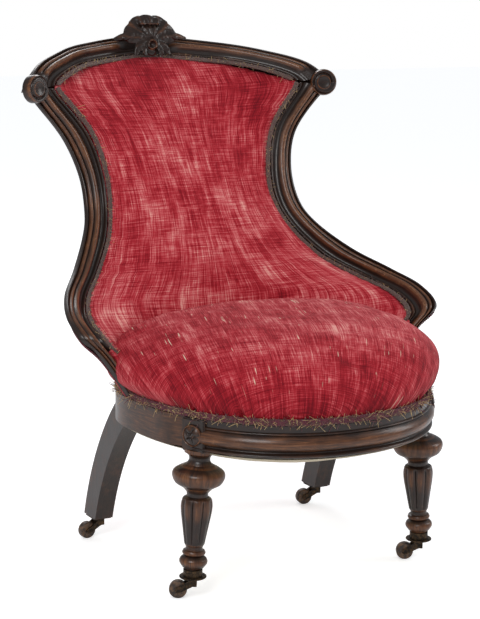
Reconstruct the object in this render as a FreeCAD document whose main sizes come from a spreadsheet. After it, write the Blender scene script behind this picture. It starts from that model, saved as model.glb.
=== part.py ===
"""Upholstered balloon back chair: carved show-wood frame, sprung seat, turned front legs, raked back legs, casters.

Millimetres. +X is the sitter's left, -Y is the front, +Z is up. The floor is Z = 0 and the chair is centred on X = 0.
Lengths along Y are first counted from the line through the two front legs, and the whole chair is moved back by
half_depth_shift at the end, so that the origin lies under the middle of its outer box.
"""
import FreeCAD, Part
import math
import os

V = FreeCAD.Vector
doc = FreeCAD.newDocument("BalloonBackChair")

# Driving dimensions, each in a cell of its own
SIZES = {
    "seat_half_width": 277.0,
    "seat_middle": 200.0,
    "seat_front_reach": 332.0,
    "seat_back_reach": 205.0,
    "rail_bottom": 264.0,
    "rail_height": 54.0,
    "rail_thickness": 30.0,
    "rail_moulding": 9.0,
    "leg_spread": 236.0,
    "leg_splay_deg": 3.2,
    "leg_block_side": 46.0,
    "leg_ring_radius": 45.0,
    "leg_neck_radius": 19.0,
    "leg_body_radius": 27.0,
    "leg_ankle_radius": 15.0,
    "leg_bulb_radius": 24.0,
    "leg_foot_radius": 14.0,
    "leg_lobes": 8.0,
    "rosette_radius": 19.0,
    "rosette_thickness": 8.0,
    "back_leg_thickness": 36.0,
    "back_leg_inset": 9.0,
    "back_leg_top_depth": 84.0,
    "back_leg_foot_depth": 50.0,
    "back_leg_rake": 190.0,
    "frame_depth": 32.0,
    "scroll_half_spread": 295.5,
    "waist_half_width": 229.0,
    "arm_half_width": 367.0,
    "crest_height": 600.0,
    "scroll_radius": 26.0,
    "scroll_thickness": 10.0,
    "cushion_crown": 124.0,
    "cushion_bulge": 12.0,
    "gimp_width": 13.0,
    "gimp_thickness": 3.0,
    "pad_crown": 28.0,
    "pad_thickness": 30.0,
    "cover_thickness": 2.5,
    "webbing_width": 50.0,
    "webbing_thickness": 2.0,
    "spring_wire": 3.6,
    "spring_radius": 36.0,
    "spring_turns": 5.0,
    "screw_radius": 2.0,
    "caster_top": 40.0,
    "caster_plate_thickness": 3.0,
    "caster_plate_side": 38.0,
    "caster_cup_radius": 22.0,
    "caster_cup_wall": 2.5,
    "caster_cup_height": 14.0,
    "caster_pin_radius": 3.5,
    "caster_pin_play": 0.06,
    "caster_gap": 0.5,
    "caster_trail": 25.0,
    "wheel_radius": 15.5,
    "wheel_width": 14.0,
    "wheel_round": 2.5,
    "wheel_side_gap": 0.8,
    "horn_cheek": 2.6,
    "horn_hub_height": 14.0,
    "horn_hub_length": 14.0,
    "axle_radius": 2.2,
    "axle_play": 0.06,
}
sheet = doc.addObject("Spreadsheet::Sheet", "Sizes")
for row, (name, value) in enumerate(SIZES.items(), start=1):
    sheet.set("A%d" % row, name)
    sheet.set("B%d" % row, str(value))
    sheet.setAlias("B%d" % row, name)
doc.recompute()


def size(name):
    """A driving dimension, read from its cell."""
    return float(getattr(sheet, name))


rail_bottom = size("rail_bottom")
rail_top = rail_bottom + size("rail_height")
seat_middle = size("seat_middle")
depth = size("frame_depth")
parts = []


def keep(label, shape):
    """A sub-part whose shape is worked out here from the cells."""
    piece = doc.addObject("Part::Feature", label)
    piece.Label = label
    piece.Shape = shape
    parts.append(piece)
    return piece


def loft(sections, closed_ring=False):
    """A smooth solid through closed sections of corner points."""
    wires = [Part.makePolygon(list(points) + [points[0]]) for points in sections]
    return one_solid(Part.makeLoft(wires, True, False, closed_ring))


def one_solid(shape):
    """The largest solid of a shape, turned the right way out."""
    solid = max(shape.Solids, key=lambda s: s.Volume)
    return solid.copy()


def mirrored(shape):
    """The same shape on the other side of the chair."""
    return shape.mirror(V(0, 0, 0), V(1, 0, 0))


# The seat's plan: a full oval, blunter in front than an ellipse

FRONT_POWER = 2.2


def plan(angle_deg, inset=0.0):
    """A point of the seat's outline. 0 is straight ahead, 90 is the sitter's left side, 180 is the back."""
    angle = math.radians(angle_deg)
    across = math.sin(angle)
    along = math.cos(angle)
    half_width = size("seat_half_width") - inset
    reach = (size("seat_front_reach") if along >= 0 else size("seat_back_reach")) - inset
    power = FRONT_POWER if along >= 0 else 2.0
    x = math.copysign(abs(across) ** (2.0 / power), across) * half_width
    y = seat_middle - math.copysign(abs(along) ** (2.0 / power), along) * reach
    return x, y


def plan_frame(angle_deg):
    """The outline's point and its outward direction there."""
    x, y = plan(angle_deg)
    x0, y0 = plan(angle_deg - 0.5)
    x1, y1 = plan(angle_deg + 0.5)
    tangent = V(x1 - x0, y1 - y0, 0)
    tangent.normalize()
    outward = V(-tangent.y, tangent.x, 0)
    if outward.dot(V(x, y - seat_middle, 0)) < 0:
        outward = outward * -1
    return V(x, y, 0), outward


def angle_at_x(target, low=5.0, high=85.0):
    """The plan angle in the front quarter whose point lies target to the side."""
    for _ in range(50):
        middle = (low + high) / 2
        if plan(middle)[0] < target:
            low = middle
        else:
            high = middle
    return (low + high) / 2


def angle_at_y(target, low=5.0, high=175.0):
    """The plan angle on the left side whose point lies target behind the front legs."""
    for _ in range(50):
        middle = (low + high) / 2
        if plan(middle)[1] < target:
            low = middle
        else:
            high = middle
    return (low + high) / 2


def along_plan(profile, start, end, steps):
    """A solid that follows the seat's outline. The profile's points are (outward, height)."""
    sections = []
    for step in range(steps + 1):
        place, outward = plan_frame(start + (end - start) * step / steps)
        sections.append([place + outward * out + V(0, 0, height) for out, height in profile])
    return loft(sections)


leg_angle = angle_at_x(size("leg_spread"))
leg_place, leg_outward = plan_frame(leg_angle)
block_half = size("leg_block_side") / 2
leg_centre = leg_place - leg_outward * (block_half - size("rail_moulding") * 0.5)
BLOCK_PROUD = 3.0
block_base = rail_bottom - BLOCK_PROUD


# Front legs

FOOT_RISE = 13.0
PIN_RISE = 22.0
foot_out = (block_base - size("caster_top") - FOOT_RISE) * math.sin(math.radians(size("leg_splay_deg")))


def leg_turning():
    """The turned leg about its own axis, from the foot in the caster cup up to the block."""
    cup_floor = size("caster_top")
    foot = size("leg_foot_radius")
    ankle = size("leg_ankle_radius")
    bulb = size("leg_bulb_radius")
    body = size("leg_body_radius")
    neck = size("leg_neck_radius")
    ring = size("leg_ring_radius")
    rise = (block_base - cup_floor) / 221.0
    outline = [
        (0, FOOT_RISE), (foot + 1.5, FOOT_RISE), (bulb * 0.72, FOOT_RISE + 2), (bulb, 24), (bulb * 0.93, 30), (bulb * 0.62, 36),
        (ankle + 4, 42), (ankle + 4, 46), (ankle, 50), (ankle + 2, 58), (body * 0.84, 90), (body * 0.96, 112),
        (body * 0.92, 128), (body * 0.72, 139), (neck, 143), (neck + 1, 150), (neck + 7, 157),
        (ring * 0.78, 162), (ring * 0.97, 169), (ring, 178), (ring * 0.93, 186), (ring * 0.66, 193),
        (neck + 5, 198), (neck - 1, 205), (neck, 211), (neck + 7, 217), (neck + 7, 221), (0, 221),
    ]
    points = [V(radius, 0, cup_floor + height * rise) for radius, height in outline]
    face = Part.Face(Part.makePolygon(points + [points[0]]))
    return face.revolve(V(0, 0, 0), V(0, 0, 1), 360), cup_floor, rise


def lobed_body(cup_floor, rise):
    """The swelling part of the leg, carved into rounded lobes."""
    lobes = int(size("leg_lobes"))
    body = size("leg_body_radius")
    ankle = size("leg_ankle_radius")
    wires = []
    for height, radius in ((56, ankle + 2.5), (76, body * 0.78), (98, body * 0.94), (120, body), (135, body * 0.86)):
        valley = radius * 0.88
        edges = []
        for lobe in range(lobes):
            a0, a1, a2 = (2 * math.pi * (lobe + share) / lobes for share in (0, 0.5, 1))
            level = cup_floor + height * rise
            start = V(valley * math.cos(a0), valley * math.sin(a0), level)
            crown = V(radius * math.cos(a1), radius * math.sin(a1), level)
            end = V(valley * math.cos(a2), valley * math.sin(a2), level)
            edges.append(Part.Arc(start, crown, end).toShape())
        wires.append(Part.Wire(edges))
    return one_solid(Part.makeLoft(wires, True, False))


def front_leg():
    """The sitter's left front leg: a leaning turning on an upright foot, below a square block that faces outwards."""
    turning, cup_floor, rise = leg_turning()
    turned = turning.fuse(lobed_body(cup_floor, rise)).removeSplitter()
    top = V(0, 0, block_base)
    turned.rotate(top, V(0, 1, 0), -size("leg_splay_deg"))
    foot_place = V(foot_out, 0, cup_floor)
    turned = turned.fuse(Part.makeCylinder(size("leg_foot_radius"), FOOT_RISE + 8, foot_place))
    turned = turned.cut(Part.makeCylinder(size("caster_pin_radius"), PIN_RISE, foot_place))
    side = size("leg_block_side")
    block = Part.makeBox(side, side, rail_top - block_base, V(-side / 2, -side / 2, block_base))
    block.rotate(V(0, 0, 0), V(0, 0, 1), math.degrees(math.atan2(leg_outward.y, leg_outward.x)))
    leg = turned.fuse(block)
    leg.translate(leg_centre)
    return one_solid(leg)


front_leg_left = front_leg()


# Seat rails: a moulded bow in front, plain sides and back

thick = size("rail_thickness")
mould = size("rail_moulding")
front_profile = [
    (-thick, rail_bottom), (mould * 0.3, rail_bottom), (mould * 0.7, rail_bottom + 3), (mould * 0.5, rail_bottom + 7),
    (0, rail_bottom + 9), (mould * 0.7, rail_bottom + 13), (mould, rail_bottom + 21), (mould * 0.9, rail_bottom + 29),
    (mould * 0.4, rail_bottom + 36), (-1, rail_bottom + 39), (-1, rail_top), (-thick, rail_top),
]
plain_profile = [(-thick, rail_bottom), (0, rail_bottom), (0, rail_top), (-thick, rail_top)]
back_rail_angle = 150.0
front_rail = along_plan(front_profile, -leg_angle, leg_angle, 16)
side_rail = along_plan(plain_profile, leg_angle, back_rail_angle, 10)
back_rail = along_plan(plain_profile, back_rail_angle, 360.0 - back_rail_angle, 6)


# Back legs: sabre-shaped, their tops let into the side rails


def back_leg():
    """The sitter's left back leg, sawn from a plank along Y and Z, and the middle of its foot."""
    foot_z = size("caster_top")
    height = rail_top - foot_z
    top_half = size("back_leg_top_depth") / 2
    foot_half = size("back_leg_foot_depth") / 2
    rake = size("back_leg_rake")
    top_y = seat_middle + 4.0
    foot_y = top_y + rake
    outer = size("seat_half_width") - size("rail_thickness") + size("back_leg_inset")
    inner = outer - size("back_leg_thickness")
    waist_z = foot_z + height * 0.45
    waist_y = top_y + rake * 0.72
    waist_half = foot_half * 1.12
    front = Part.Arc(V(inner, foot_y - foot_half, foot_z), V(inner, waist_y - waist_half, waist_z),
                     V(inner, top_y - top_half, rail_top)).toShape()
    back = Part.Arc(V(inner, top_y + top_half, rail_top), V(inner, waist_y + waist_half, waist_z),
                    V(inner, foot_y + foot_half, foot_z)).toShape()
    top = Part.makeLine(V(inner, top_y - top_half, rail_top), V(inner, top_y + top_half, rail_top))
    foot = Part.makeLine(V(inner, foot_y + foot_half, foot_z), V(inner, foot_y - foot_half, foot_z))
    plank = Part.Face(Part.Wire([front, top, back, foot])).extrude(V(outer - inner, 0, 0))
    bore = Part.makeCylinder(size("caster_pin_radius"), PIN_RISE, V((inner + outer) / 2, foot_y, foot_z))
    return one_solid(plank.cut(bore)), V((inner + outer) / 2, foot_y, 0)


back_leg_left, back_foot = back_leg()
side_rail = one_solid(side_rail.cut(front_leg_left).cut(back_leg_left))
front_rail = one_solid(front_rail.cut(front_leg_left).cut(mirrored(front_leg_left)))


# The show-wood frame: stations from the top scroll down the stile and along the arm to the side rail.
# Each is the outer and the inner edge of the moulded face; heights are above the rail's top.

scroll = size("scroll_half_spread")
waist = size("waist_half_width")
widest = size("arm_half_width")
arm_foot = size("seat_half_width") + 33.0
crest_top = size("crest_height")
back_y = seat_middle + size("seat_back_reach")
foot_y = seat_middle - 66.0
SCROLL_STATION = (V(scroll + 35.5, back_y + 98, 512), V(scroll - 35.5, back_y + 129, 514))
STILE_STATIONS = [
    SCROLL_STATION,
    (V(scroll + 3.5, back_y + 115, 478), V(scroll - 39.5, back_y + 122, 500)),
    (V(waist + 22, back_y + 114, 415), V(waist - 27, back_y + 111, 430)),
    (V(waist, back_y + 90, 349), V(waist - 48, back_y + 92, 360)),
    (V(waist + 2, back_y + 59, 286), V(waist - 49, back_y + 70, 295)),
    (V(waist + 23, back_y + 23, 245), V(waist - 30, back_y + 35, 242)),
]
ARM_STATIONS = [
    STILE_STATIONS[-1],
    (V(waist + 66, back_y - 41, 201), V(waist + 10, back_y - 13, 190)),
    (V(widest - 26, foot_y + 164, 170), V(widest - 79, foot_y + 194, 156)),
    (V(widest, foot_y + 96, 146), V(widest - 48, foot_y + 118, 134)),
    (V(widest - 3, foot_y + 41, 116), V(widest - 50, foot_y + 56, 106)),
    (V(arm_foot + 34, foot_y + 14, 76), V(arm_foot - 14, foot_y + 26, 70)),
    (V(arm_foot, foot_y, 2), V(arm_foot - 48, foot_y + 8, 2)),
]
CREST_STATIONS = [
    SCROLL_STATION,
    (V(scroll - 3.5, back_y + 147, 553), V(scroll - 48.5, back_y + 146, 528)),
    (V(scroll * 0.775, back_y + 207, crest_top - 26), V(scroll * 0.694, back_y + 183, crest_top - 56)),
    (V(scroll * 0.508, back_y + 267, crest_top - 12), V(scroll * 0.46, back_y + 239, crest_top - 44)),
    (V(0, back_y + 317, crest_top), V(0, back_y + 285, crest_top - 36)),
]
FACE_PROFILE = [
    (0.00, 8), (0.03, 3), (0.09, 1), (0.15, 4), (0.19, 7), (0.25, 2), (0.36, -3), (0.48, -4), (0.60, -1),
    (0.68, 4), (0.73, 7), (0.79, 3), (0.87, 1), (0.94, 3), (0.97, 7), (1.00, 8), (0.98, None), (0.30, None),
    (0.06, None),
]


def lifted(station):
    outer, inner = station
    return outer + V(0, 0, rail_top), inner + V(0, 0, rail_top)


def frame_section(outer, inner, tangent):
    """The moulding's section between two edge points, square to the frame's run."""
    across = inner - outer
    width = across.Length
    backward = tangent.cross(across)
    backward.normalize()
    across.normalize()
    points = []
    for share, level in FACE_PROFILE:
        sunk = depth if level is None else level
        points.append(outer + across * (share * width) + backward * sunk)
    return points


def frame_run(stations):
    """The solid through a row of stations on the sitter's left."""
    middles = [(outer + inner) * 0.5 for outer, inner in stations]
    sections = []
    last = len(stations) - 1
    for index, (outer, inner) in enumerate(stations):
        tangent = middles[min(index + 1, last)] - middles[max(index - 1, 0)]
        sections.append(frame_section(outer, inner, tangent))
    return sections


def mirror_point(point):
    return V(-point.x, point.y, point.z)


stile_sections = frame_run([lifted(s) for s in STILE_STATIONS])
arm_sections = frame_run([lifted(s) for s in ARM_STATIONS])
arm_sections[0] = stile_sections[-1]
down_crest = [lifted(s) for s in CREST_STATIONS]
crest_half = frame_run(list(reversed(down_crest)))
crest_half[-1] = stile_sections[0]
outer_top, inner_top = down_crest[-1]
crest_half[0] = frame_section(outer_top, inner_top, V(1, 0, 0))
other_half = [[mirror_point(p) for p in section] for section in crest_half[1:]]
crest_rail = loft(list(reversed(other_half)) + crest_half)
stile_left = loft(stile_sections)
arm_left = loft(arm_sections)
rail_and_leg = side_rail.fuse(front_leg_left)
arm_left = one_solid(arm_left.cut(rail_and_leg))


def scroll_boss():
    """The round volute at the top corner, standing proud of the moulding."""
    outer, inner = lifted(SCROLL_STATION)
    across = inner - outer
    across.normalize()
    section = stile_sections[0]
    backward = section[-1] - section[0]
    backward = backward - across * backward.dot(across)
    backward.normalize()
    radius = size("scroll_radius")
    centre = outer + across * radius - backward * (size("scroll_thickness") * 0.55)
    disc = Part.makeCylinder(radius, size("scroll_thickness") + 6, centre, backward)
    disc = disc.makeFillet(3.0, [edge for edge in disc.Edges if abs(edge.BoundBox.Center.distanceToPoint(centre)) < 4])
    return one_solid(disc.cut(crest_rail).cut(stile_left))


scroll_left = scroll_boss()


# Cresting: a carved spray over the middle of the crest

CRESTING_OUTLINE = [
    (80, -6), (62, 6), (56, 18), (46, 24), (38, 34), (26, 37), (14, 40), (0, 39), (-14, 41), (-26, 36), (-38, 30),
    (-46, 24), (-56, 18), (-62, 6), (-80, -6), (-60, -16), (-46, -26), (-34, -38), (-14, -42), (0, -43), (14, -42),
    (34, -38), (46, -26), (60, -16),
]


def cresting():
    """A slab of the spray's outline, its heights counted from the crest's top, leaning back with the crest."""
    lean = 0.40
    foot = min(height for _, height in CRESTING_OUTLINE)
    front_y = back_y + 259
    reach = 46.0
    front = [V(x, front_y + (z - foot) * lean, rail_top + crest_top + z) for x, z in CRESTING_OUTLINE]
    back = [point + V(0, reach, 0) for point in front]
    slab = Part.makeLoft([Part.makePolygon(ring + [ring[0]]) for ring in (front, back)], True, True)
    return one_solid(slab.cut(crest_rail))


cresting_shape = cresting()


# Rosettes on the leg blocks


def rosette():
    radius = size("rosette_radius")
    thickness = size("rosette_thickness")
    steps = [(0, 0), (radius, 0), (radius, 3), (radius * 0.85, 5), (radius * 0.62, 3.5), (radius * 0.55, 5),
             (radius * 0.34, thickness), (radius * 0.12, thickness - 2), (0, thickness - 2)]
    points = [V(r, 0, h) for r, h in steps]
    face = Part.Face(Part.makePolygon(points + [points[0]]))
    flower = face.revolve(V(0, 0, 0), V(0, 0, 1), 360)
    middle = (block_base + rail_top) / 2
    centre = leg_centre + leg_outward * block_half + V(0, 0, middle)
    flower.Placement = FreeCAD.Placement(centre, FreeCAD.Rotation(V(0, 0, 1), leg_outward))
    return flower


rosette_left = rosette()
front_rail = one_solid(front_rail.cut(rosette_left).cut(mirrored(rosette_left)))


# Upholstery: inside back, outside back, seat and trimmings

inner_edges = [inner for _, inner in [lifted(s) for s in reversed(ARM_STATIONS)]]
inner_edges += [inner for _, inner in [lifted(s) for s in reversed(STILE_STATIONS)]][1:]
PAD_MIDDLE = [
    V(0, back_y - 33, 2), V(0, back_y - 29, 62), V(0, back_y - 21, 106), V(0, back_y - 9, 140), V(0, back_y + 5, 172),
    V(0, back_y + 23, 208), V(0, back_y + 47, 256), V(0, back_y + 81, 312), V(0, back_y + 123, 376),
    V(0, back_y + 169, 440), V(0, back_y + 231, crest_top - 88), V(0, back_y + 275, crest_top - 44),
]
SEAM_GAP = 0.6


def backward_of(points, index):
    """The direction from a row of points, in the YZ plane, towards the back of the chair."""
    if index == 0:
        return V(0, 1, 0)
    if index == len(points) - 1:
        top = PAD_MIDDLE[-1] - SCROLL_STATION[1]
        flat = V(0, top.y, top.z)
        flat.normalize()
        return flat
    rise = points[min(index + 1, len(points) - 1)] - points[max(index - 1, 0)]
    backward = V(0, rise.z, -rise.y)
    backward.normalize()
    return backward


def back_rings(sides, front_level, rear_level, crown, spread=0.0):
    """Rings across the back, from the arms' feet up to the crest, each of a forward arc and a rear arc.

    The rear arc's ends stand spread further apart than the forward arc's."""
    rings = []
    middles = [point + V(0, 0, rail_top) for point in PAD_MIDDLE]
    count = len(sides)
    for index, side in enumerate(sides):
        side_back = backward_of(sides, index)
        middle_back = backward_of(middles, index)
        swell = crown * math.sin(math.pi * (index + 1.0) / (count + 1.0))
        left_front = side + side_back * front_level
        left_rear = side + side_back * rear_level + V(spread, 0, 0)
        middle_front = middles[index] + middle_back * (front_level - swell)
        middle_rear = middles[index] + middle_back * rear_level
        front = Part.Arc(left_front, middle_front, mirror_point(left_front)).toShape()
        rear = Part.Arc(mirror_point(left_rear), middle_rear, left_rear).toShape()
        edge_a = Part.makeLine(mirror_point(left_front), mirror_point(left_rear))
        edge_b = Part.makeLine(left_rear, left_front)
        rings.append(Part.Wire([front, edge_a, rear, edge_b]))
    return rings


arm_right = mirrored(arm_left)
stile_right = mirrored(stile_left)
side_rail_right = mirrored(side_rail)
front_leg_right = mirrored(front_leg_left)
back_leg_right = mirrored(back_leg_left)


def cut_all(shape, tools, tolerance=0.0):
    """The shape less each tool that it touches. A tolerance helps where the two nearly share a curved face."""
    for tool in tools:
        if shape.BoundBox.intersect(tool.BoundBox):
            shape = shape.cut(tool, tolerance) if tolerance else shape.cut(tool)
    return one_solid(shape)


woodwork = [arm_left, arm_right, stile_left, stile_right, crest_rail, side_rail, side_rail_right, back_rail]
pad_sides = [edge - V(SEAM_GAP, 0, 0) for edge in inner_edges]
pad_level = 5.0
pad_rings = back_rings(pad_sides, pad_level, size("pad_thickness"), size("pad_crown"))
back_pad = cut_all(one_solid(Part.makeLoft(pad_rings, True, False)), woodwork + [cresting_shape])


def gimp_section(outer, inner, tangent):
    """The braid's section, lying on the pad's edge just inside the moulding."""
    across = inner - outer
    backward = tangent.cross(across)
    backward.normalize()
    across.normalize()
    near = inner + across * SEAM_GAP
    far = inner + across * (SEAM_GAP + size("gimp_width"))
    level = 2.0
    low = level + size("gimp_thickness")
    return [near + backward * level, far + backward * level, far + backward * low, near + backward * low]


def gimp_half(stations):
    middles = [(outer + inner) * 0.5 for outer, inner in stations]
    last = len(stations) - 1
    sections = []
    for index, (outer, inner) in enumerate(stations):
        tangent = middles[min(index + 1, last)] - middles[max(index - 1, 0)]
        sections.append(gimp_section(outer, inner, tangent))
    return sections


side_run = [lifted(s) for s in STILE_STATIONS[1:] + ARM_STATIONS[1:-2]]
side_braid = loft(gimp_half(side_run))
crest_run = [lifted(s) for s in reversed(CREST_STATIONS)][:-1]
crest_braid = gimp_half(crest_run)
crest_braid[0] = gimp_section(outer_top, inner_top, V(1, 0, 0))
crest_braid = loft([[mirror_point(p) for p in ring] for ring in reversed(crest_braid[1:])] + crest_braid)
back_braids = [cut_all(side_braid, [stile_left, arm_left]), cut_all(mirrored(side_braid), [stile_right, arm_right]),
               cut_all(crest_braid, [crest_rail, stile_left, stile_right, cresting_shape])]
back_pad = cut_all(back_pad, back_braids)


def ring_of_arcs(points):
    """A closed wire of arcs, each through three of the points in turn."""
    edges = []
    for index in range(0, len(points), 2):
        edges.append(Part.Arc(points[index], points[index + 1], points[(index + 2) % len(points)]).toShape())
    return Part.Wire(edges)


def oval(level, inset, share=1.0, steps=24):
    """A ring of the seat's plan at a height above the rail, moved in by inset or drawn to a share of its size."""
    centre_y = seat_middle - (size("seat_front_reach") - size("seat_back_reach")) / 2
    points = []
    for step in range(steps):
        x, y = plan(360.0 * step / steps, inset)
        points.append(V(x * share, centre_y + (y - centre_y) * share, rail_top + level))
    return ring_of_arcs(points)


crown = size("cushion_crown")
bulge = size("cushion_bulge")
gimp_edge = size("gimp_thickness") + SEAM_GAP
SIDE_RINGS = [(0, gimp_edge), (size("gimp_width"), gimp_edge), (crown * 0.22, -bulge * 0.6), (crown * 0.38, -bulge),
              (crown * 0.54, -bulge * 0.7), (crown * 0.70, bulge * 0.5)]
DOME_RINGS = [(0.84, 0.87), (0.918, 0.68), (0.973, 0.44), (0.997, 0.2)]
cushion_rings = [oval(level, inset) for level, inset in SIDE_RINGS]
cushion_rings += [oval(crown * height, 0.0, share) for height, share in DOME_RINGS]
cushion = one_solid(Part.makeLoft(cushion_rings, True, False))
BEHIND = 150.0
BESIDE = 60.0
CUSHION_GAP = 0.9
behind_rings = back_rings(pad_sides, pad_level - CUSHION_GAP, BEHIND, size("pad_crown"), BESIDE)
behind_pad = one_solid(Part.makeLoft(behind_rings, True, False))
NEAR_FACE = 0.01
cushion = cut_all(cut_all(cushion, [arm_left, arm_right, behind_pad]), [back_pad], NEAR_FACE)

cover_stations = arm_sections[::-1] + stile_sections[::-1][1:]
COVER_STAND_OFF = 12.0
COVER_SEAT_GAP = 0.4


def cover_rings():
    """Rings of the outside back's cloth, from the rail up to the crest, lying on the backs of the show-wood."""
    rings = []
    middles = [point + V(0, 0, rail_top) for point in PAD_MIDDLE]
    last = len(cover_stations) - 1
    cloth = size("cover_thickness")
    for index, section in enumerate(cover_stations):
        outward = section[-1] - section[0]
        across = section[-3] - section[-1]
        across.normalize()
        outward = outward - across * outward.dot(across)
        outward.normalize()
        near = (section[-1] + section[-3]) * 0.5 + outward * COVER_SEAT_GAP
        far = near + outward * cloth
        middle_back = backward_of(middles, index)
        middle_near = middles[index] + middle_back * (size("pad_thickness") + COVER_STAND_OFF)
        if index == 0:
            near.z = far.z = middle_near.z
        if index in (0, last):
            far = near + V(cloth, 0, 0)
            middle_back = V(0, middle_near.y - near.y, middle_near.z - near.z)
            middle_back.normalize()
        middle_far = middle_near + middle_back * cloth
        front = Part.Arc(near, middle_near, mirror_point(near)).toShape()
        rear = Part.Arc(mirror_point(far), middle_far, far).toShape()
        edge_a = Part.makeLine(mirror_point(near), mirror_point(far))
        edge_b = Part.makeLine(far, near)
        rings.append(Part.Wire([front, edge_a, rear, edge_b]))
    return rings


outside_cover = one_solid(Part.makeLoft(cover_rings(), True, False))
outside_cover = cut_all(outside_cover, woodwork + [back_pad, cushion], NEAR_FACE)

seat_braid_end = angle_at_y(98.0)
seat_braid = along_plan([(-size("gimp_thickness"), rail_top), (0, rail_top), (0, rail_top + size("gimp_width")),
                         (-size("gimp_thickness"), rail_top + size("gimp_width"))], -seat_braid_end, seat_braid_end, 28)
seat_braid = cut_all(seat_braid, [arm_left, arm_right, cushion])


# Under the seat

legs = [front_leg_left, front_leg_right, back_leg_left, back_leg_right]
sheet_thickness = 1.5
hessian_plan = Part.Face(oval(-sheet_thickness, thick + 2 * SEAM_GAP))
hessian = cut_all(hessian_plan.extrude(V(0, 0, sheet_thickness)), legs)

web = size("webbing_width")
web_thick = size("webbing_thickness")
straps = []
for across in (-150.0, -75.0, 0.0, 75.0, 150.0):
    angle = angle_at_x(abs(across) + web / 2) if across else angle_at_x(web / 2)
    front_y = plan(angle, thick * 0.4)[1]
    reach = size("seat_back_reach") - thick * 0.4
    rear_y = seat_middle + reach * math.sqrt(1 - ((abs(across) + web / 2) / size("seat_half_width")) ** 2) - 4
    straps.append(Part.makeBox(web, rear_y - front_y, web_thick, V(across - web / 2, front_y, rail_bottom - web_thick)))
for along in (20.0, 100.0, 180.0, 260.0):
    corner = min(plan(angle_at_y(along - web / 2), thick * 0.5)[0], plan(angle_at_y(along + web / 2), thick * 0.5)[0])
    straps.append(Part.makeBox(2 * corner, web, web_thick, V(-corner, along - web / 2, rail_bottom - 2 * web_thick)))
webbing = Part.makeCompound([one_solid(strap.cut(legs[0]).cut(legs[1]).cut(legs[2]).cut(legs[3])) for strap in straps])


def arc_from(start, heading, end):
    """The arc that leaves start along heading and ends at end."""
    chord = end - start
    along = V(chord)
    along.normalize()
    side = heading - along * heading.dot(along)
    side.normalize()
    angle = math.acos(max(-1.0, min(1.0, heading.dot(along))))
    middle = start + chord * 0.5 + side * (chord.Length / 2 * math.tan(angle / 2))
    return Part.Arc(start, middle, end).toShape()


def biarc(start, heading, end, last_heading):
    """Two arcs that meet smoothly between two points with given headings."""
    chord = end - start
    both = heading + last_heading
    a = 2 * (1 - heading.dot(last_heading))
    b = 2 * chord.dot(both)
    reach = (-b + math.sqrt(b * b + 4 * a * chord.dot(chord))) / (2 * a)
    joint = (start + heading * reach + end - last_heading * reach) * 0.5
    middle_heading = (end - last_heading * reach) - (start + heading * reach)
    middle_heading.normalize()
    return [arc_from(start, heading, joint), arc_from(joint, middle_heading, end)]


def spring_point(turn, radius, pitch):
    """A point of the coil and its heading there, after that many turns."""
    angle = 2 * math.pi * turn
    heading = V(-radius * math.sin(angle), radius * math.cos(angle), pitch / (2 * math.pi))
    heading.normalize()
    return V(radius * math.cos(angle), radius * math.sin(angle), pitch * turn), heading


def seat_spring():
    """One coil spring between the webbing and the hessian, on its own axis."""
    wire_radius = size("spring_wire") / 2
    radius = size("spring_radius")
    bottom = rail_bottom + wire_radius + SPRING_SEAT
    top = rail_top - sheet_thickness - wire_radius - SPRING_SEAT
    turns = size("spring_turns")
    pitch = (top - bottom) / turns
    edges = []
    for quarter in range(int(turns * 4)):
        start, heading = spring_point(quarter / 4, radius, pitch)
        end, last_heading = spring_point((quarter + 1) / 4, radius, pitch)
        edges += biarc(start, heading, end, last_heading)
    start, heading = spring_point(0, radius, pitch)
    section = Part.Wire([Part.makeCircle(wire_radius, start, heading)])
    spring = Part.Wire(edges).makePipeShell([section], True, False)
    spring.translate(V(0, 0, bottom))
    print("least gap between the spring's turns", round(pitch - 2 * wire_radius, 2))
    return one_solid(spring)


def moved(shape, x, y):
    """A copy of the shape at another place."""
    copy = shape.copy()
    copy.translate(V(x, y, 0))
    return copy


SPRING_SEAT = 0.2
SPRING_PLACES = [(-110, seat_middle - 110), (110, seat_middle - 110), (0, seat_middle - 30),
                 (-110, seat_middle + 50), (110, seat_middle + 50)]
one_spring = seat_spring()
springs = Part.makeCompound([moved(one_spring, x, y) for x, y in SPRING_PLACES])

cloth_sag = 46.0
cloth_thickness = 2.0
cloth_top = -size("rail_height") - 2 * web_thick


def dish(drop, shrink):
    rings = [(cloth_top, 8), (cloth_top - drop * 0.55, 40), (cloth_top - drop * 0.86, 95), (cloth_top - drop, 165)]
    return one_solid(Part.makeLoft([oval(level, inset + shrink) for level, inset in rings], True, False))


bottom_cloth = cut_all(dish(cloth_sag, 0.0), [dish(cloth_sag - cloth_thickness, cloth_thickness)] + legs)

corner_places = [(leg_angle, thick + 12), (back_rail_angle - 4, thick - 6)]
BLOCK_LENGTH = 66.0
BLOCK_DEPTH = 26.0
BLOCK_HEIGHT = 34.0


def corner_block(angle, inset):
    place, outward = plan_frame(angle)
    block = Part.makeBox(BLOCK_DEPTH, BLOCK_LENGTH, BLOCK_HEIGHT, V(-BLOCK_DEPTH, -BLOCK_LENGTH / 2, 0))
    block.rotate(V(0, 0, 0), V(0, 0, 1), math.degrees(math.atan2(outward.y, outward.x)))
    block.translate(place - outward * inset + V(0, 0, rail_bottom + 8))
    return cut_all(block, [front_rail, side_rail, back_rail, front_leg_left, back_leg_left])


left_blocks = [corner_block(angle, inset) for angle, inset in corner_places]
corner_blocks = Part.makeCompound(left_blocks + [mirrored(block) for block in left_blocks])


# Casters: a fixed cup or plate with its pin, a swivelling horn, and a wheel on its axle


def bind(owner, **formulas):
    """Ties an object's sizes to the cells."""
    for name, formula in formulas.items():
        owner.setExpression(name, formula)
    return owner


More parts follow.
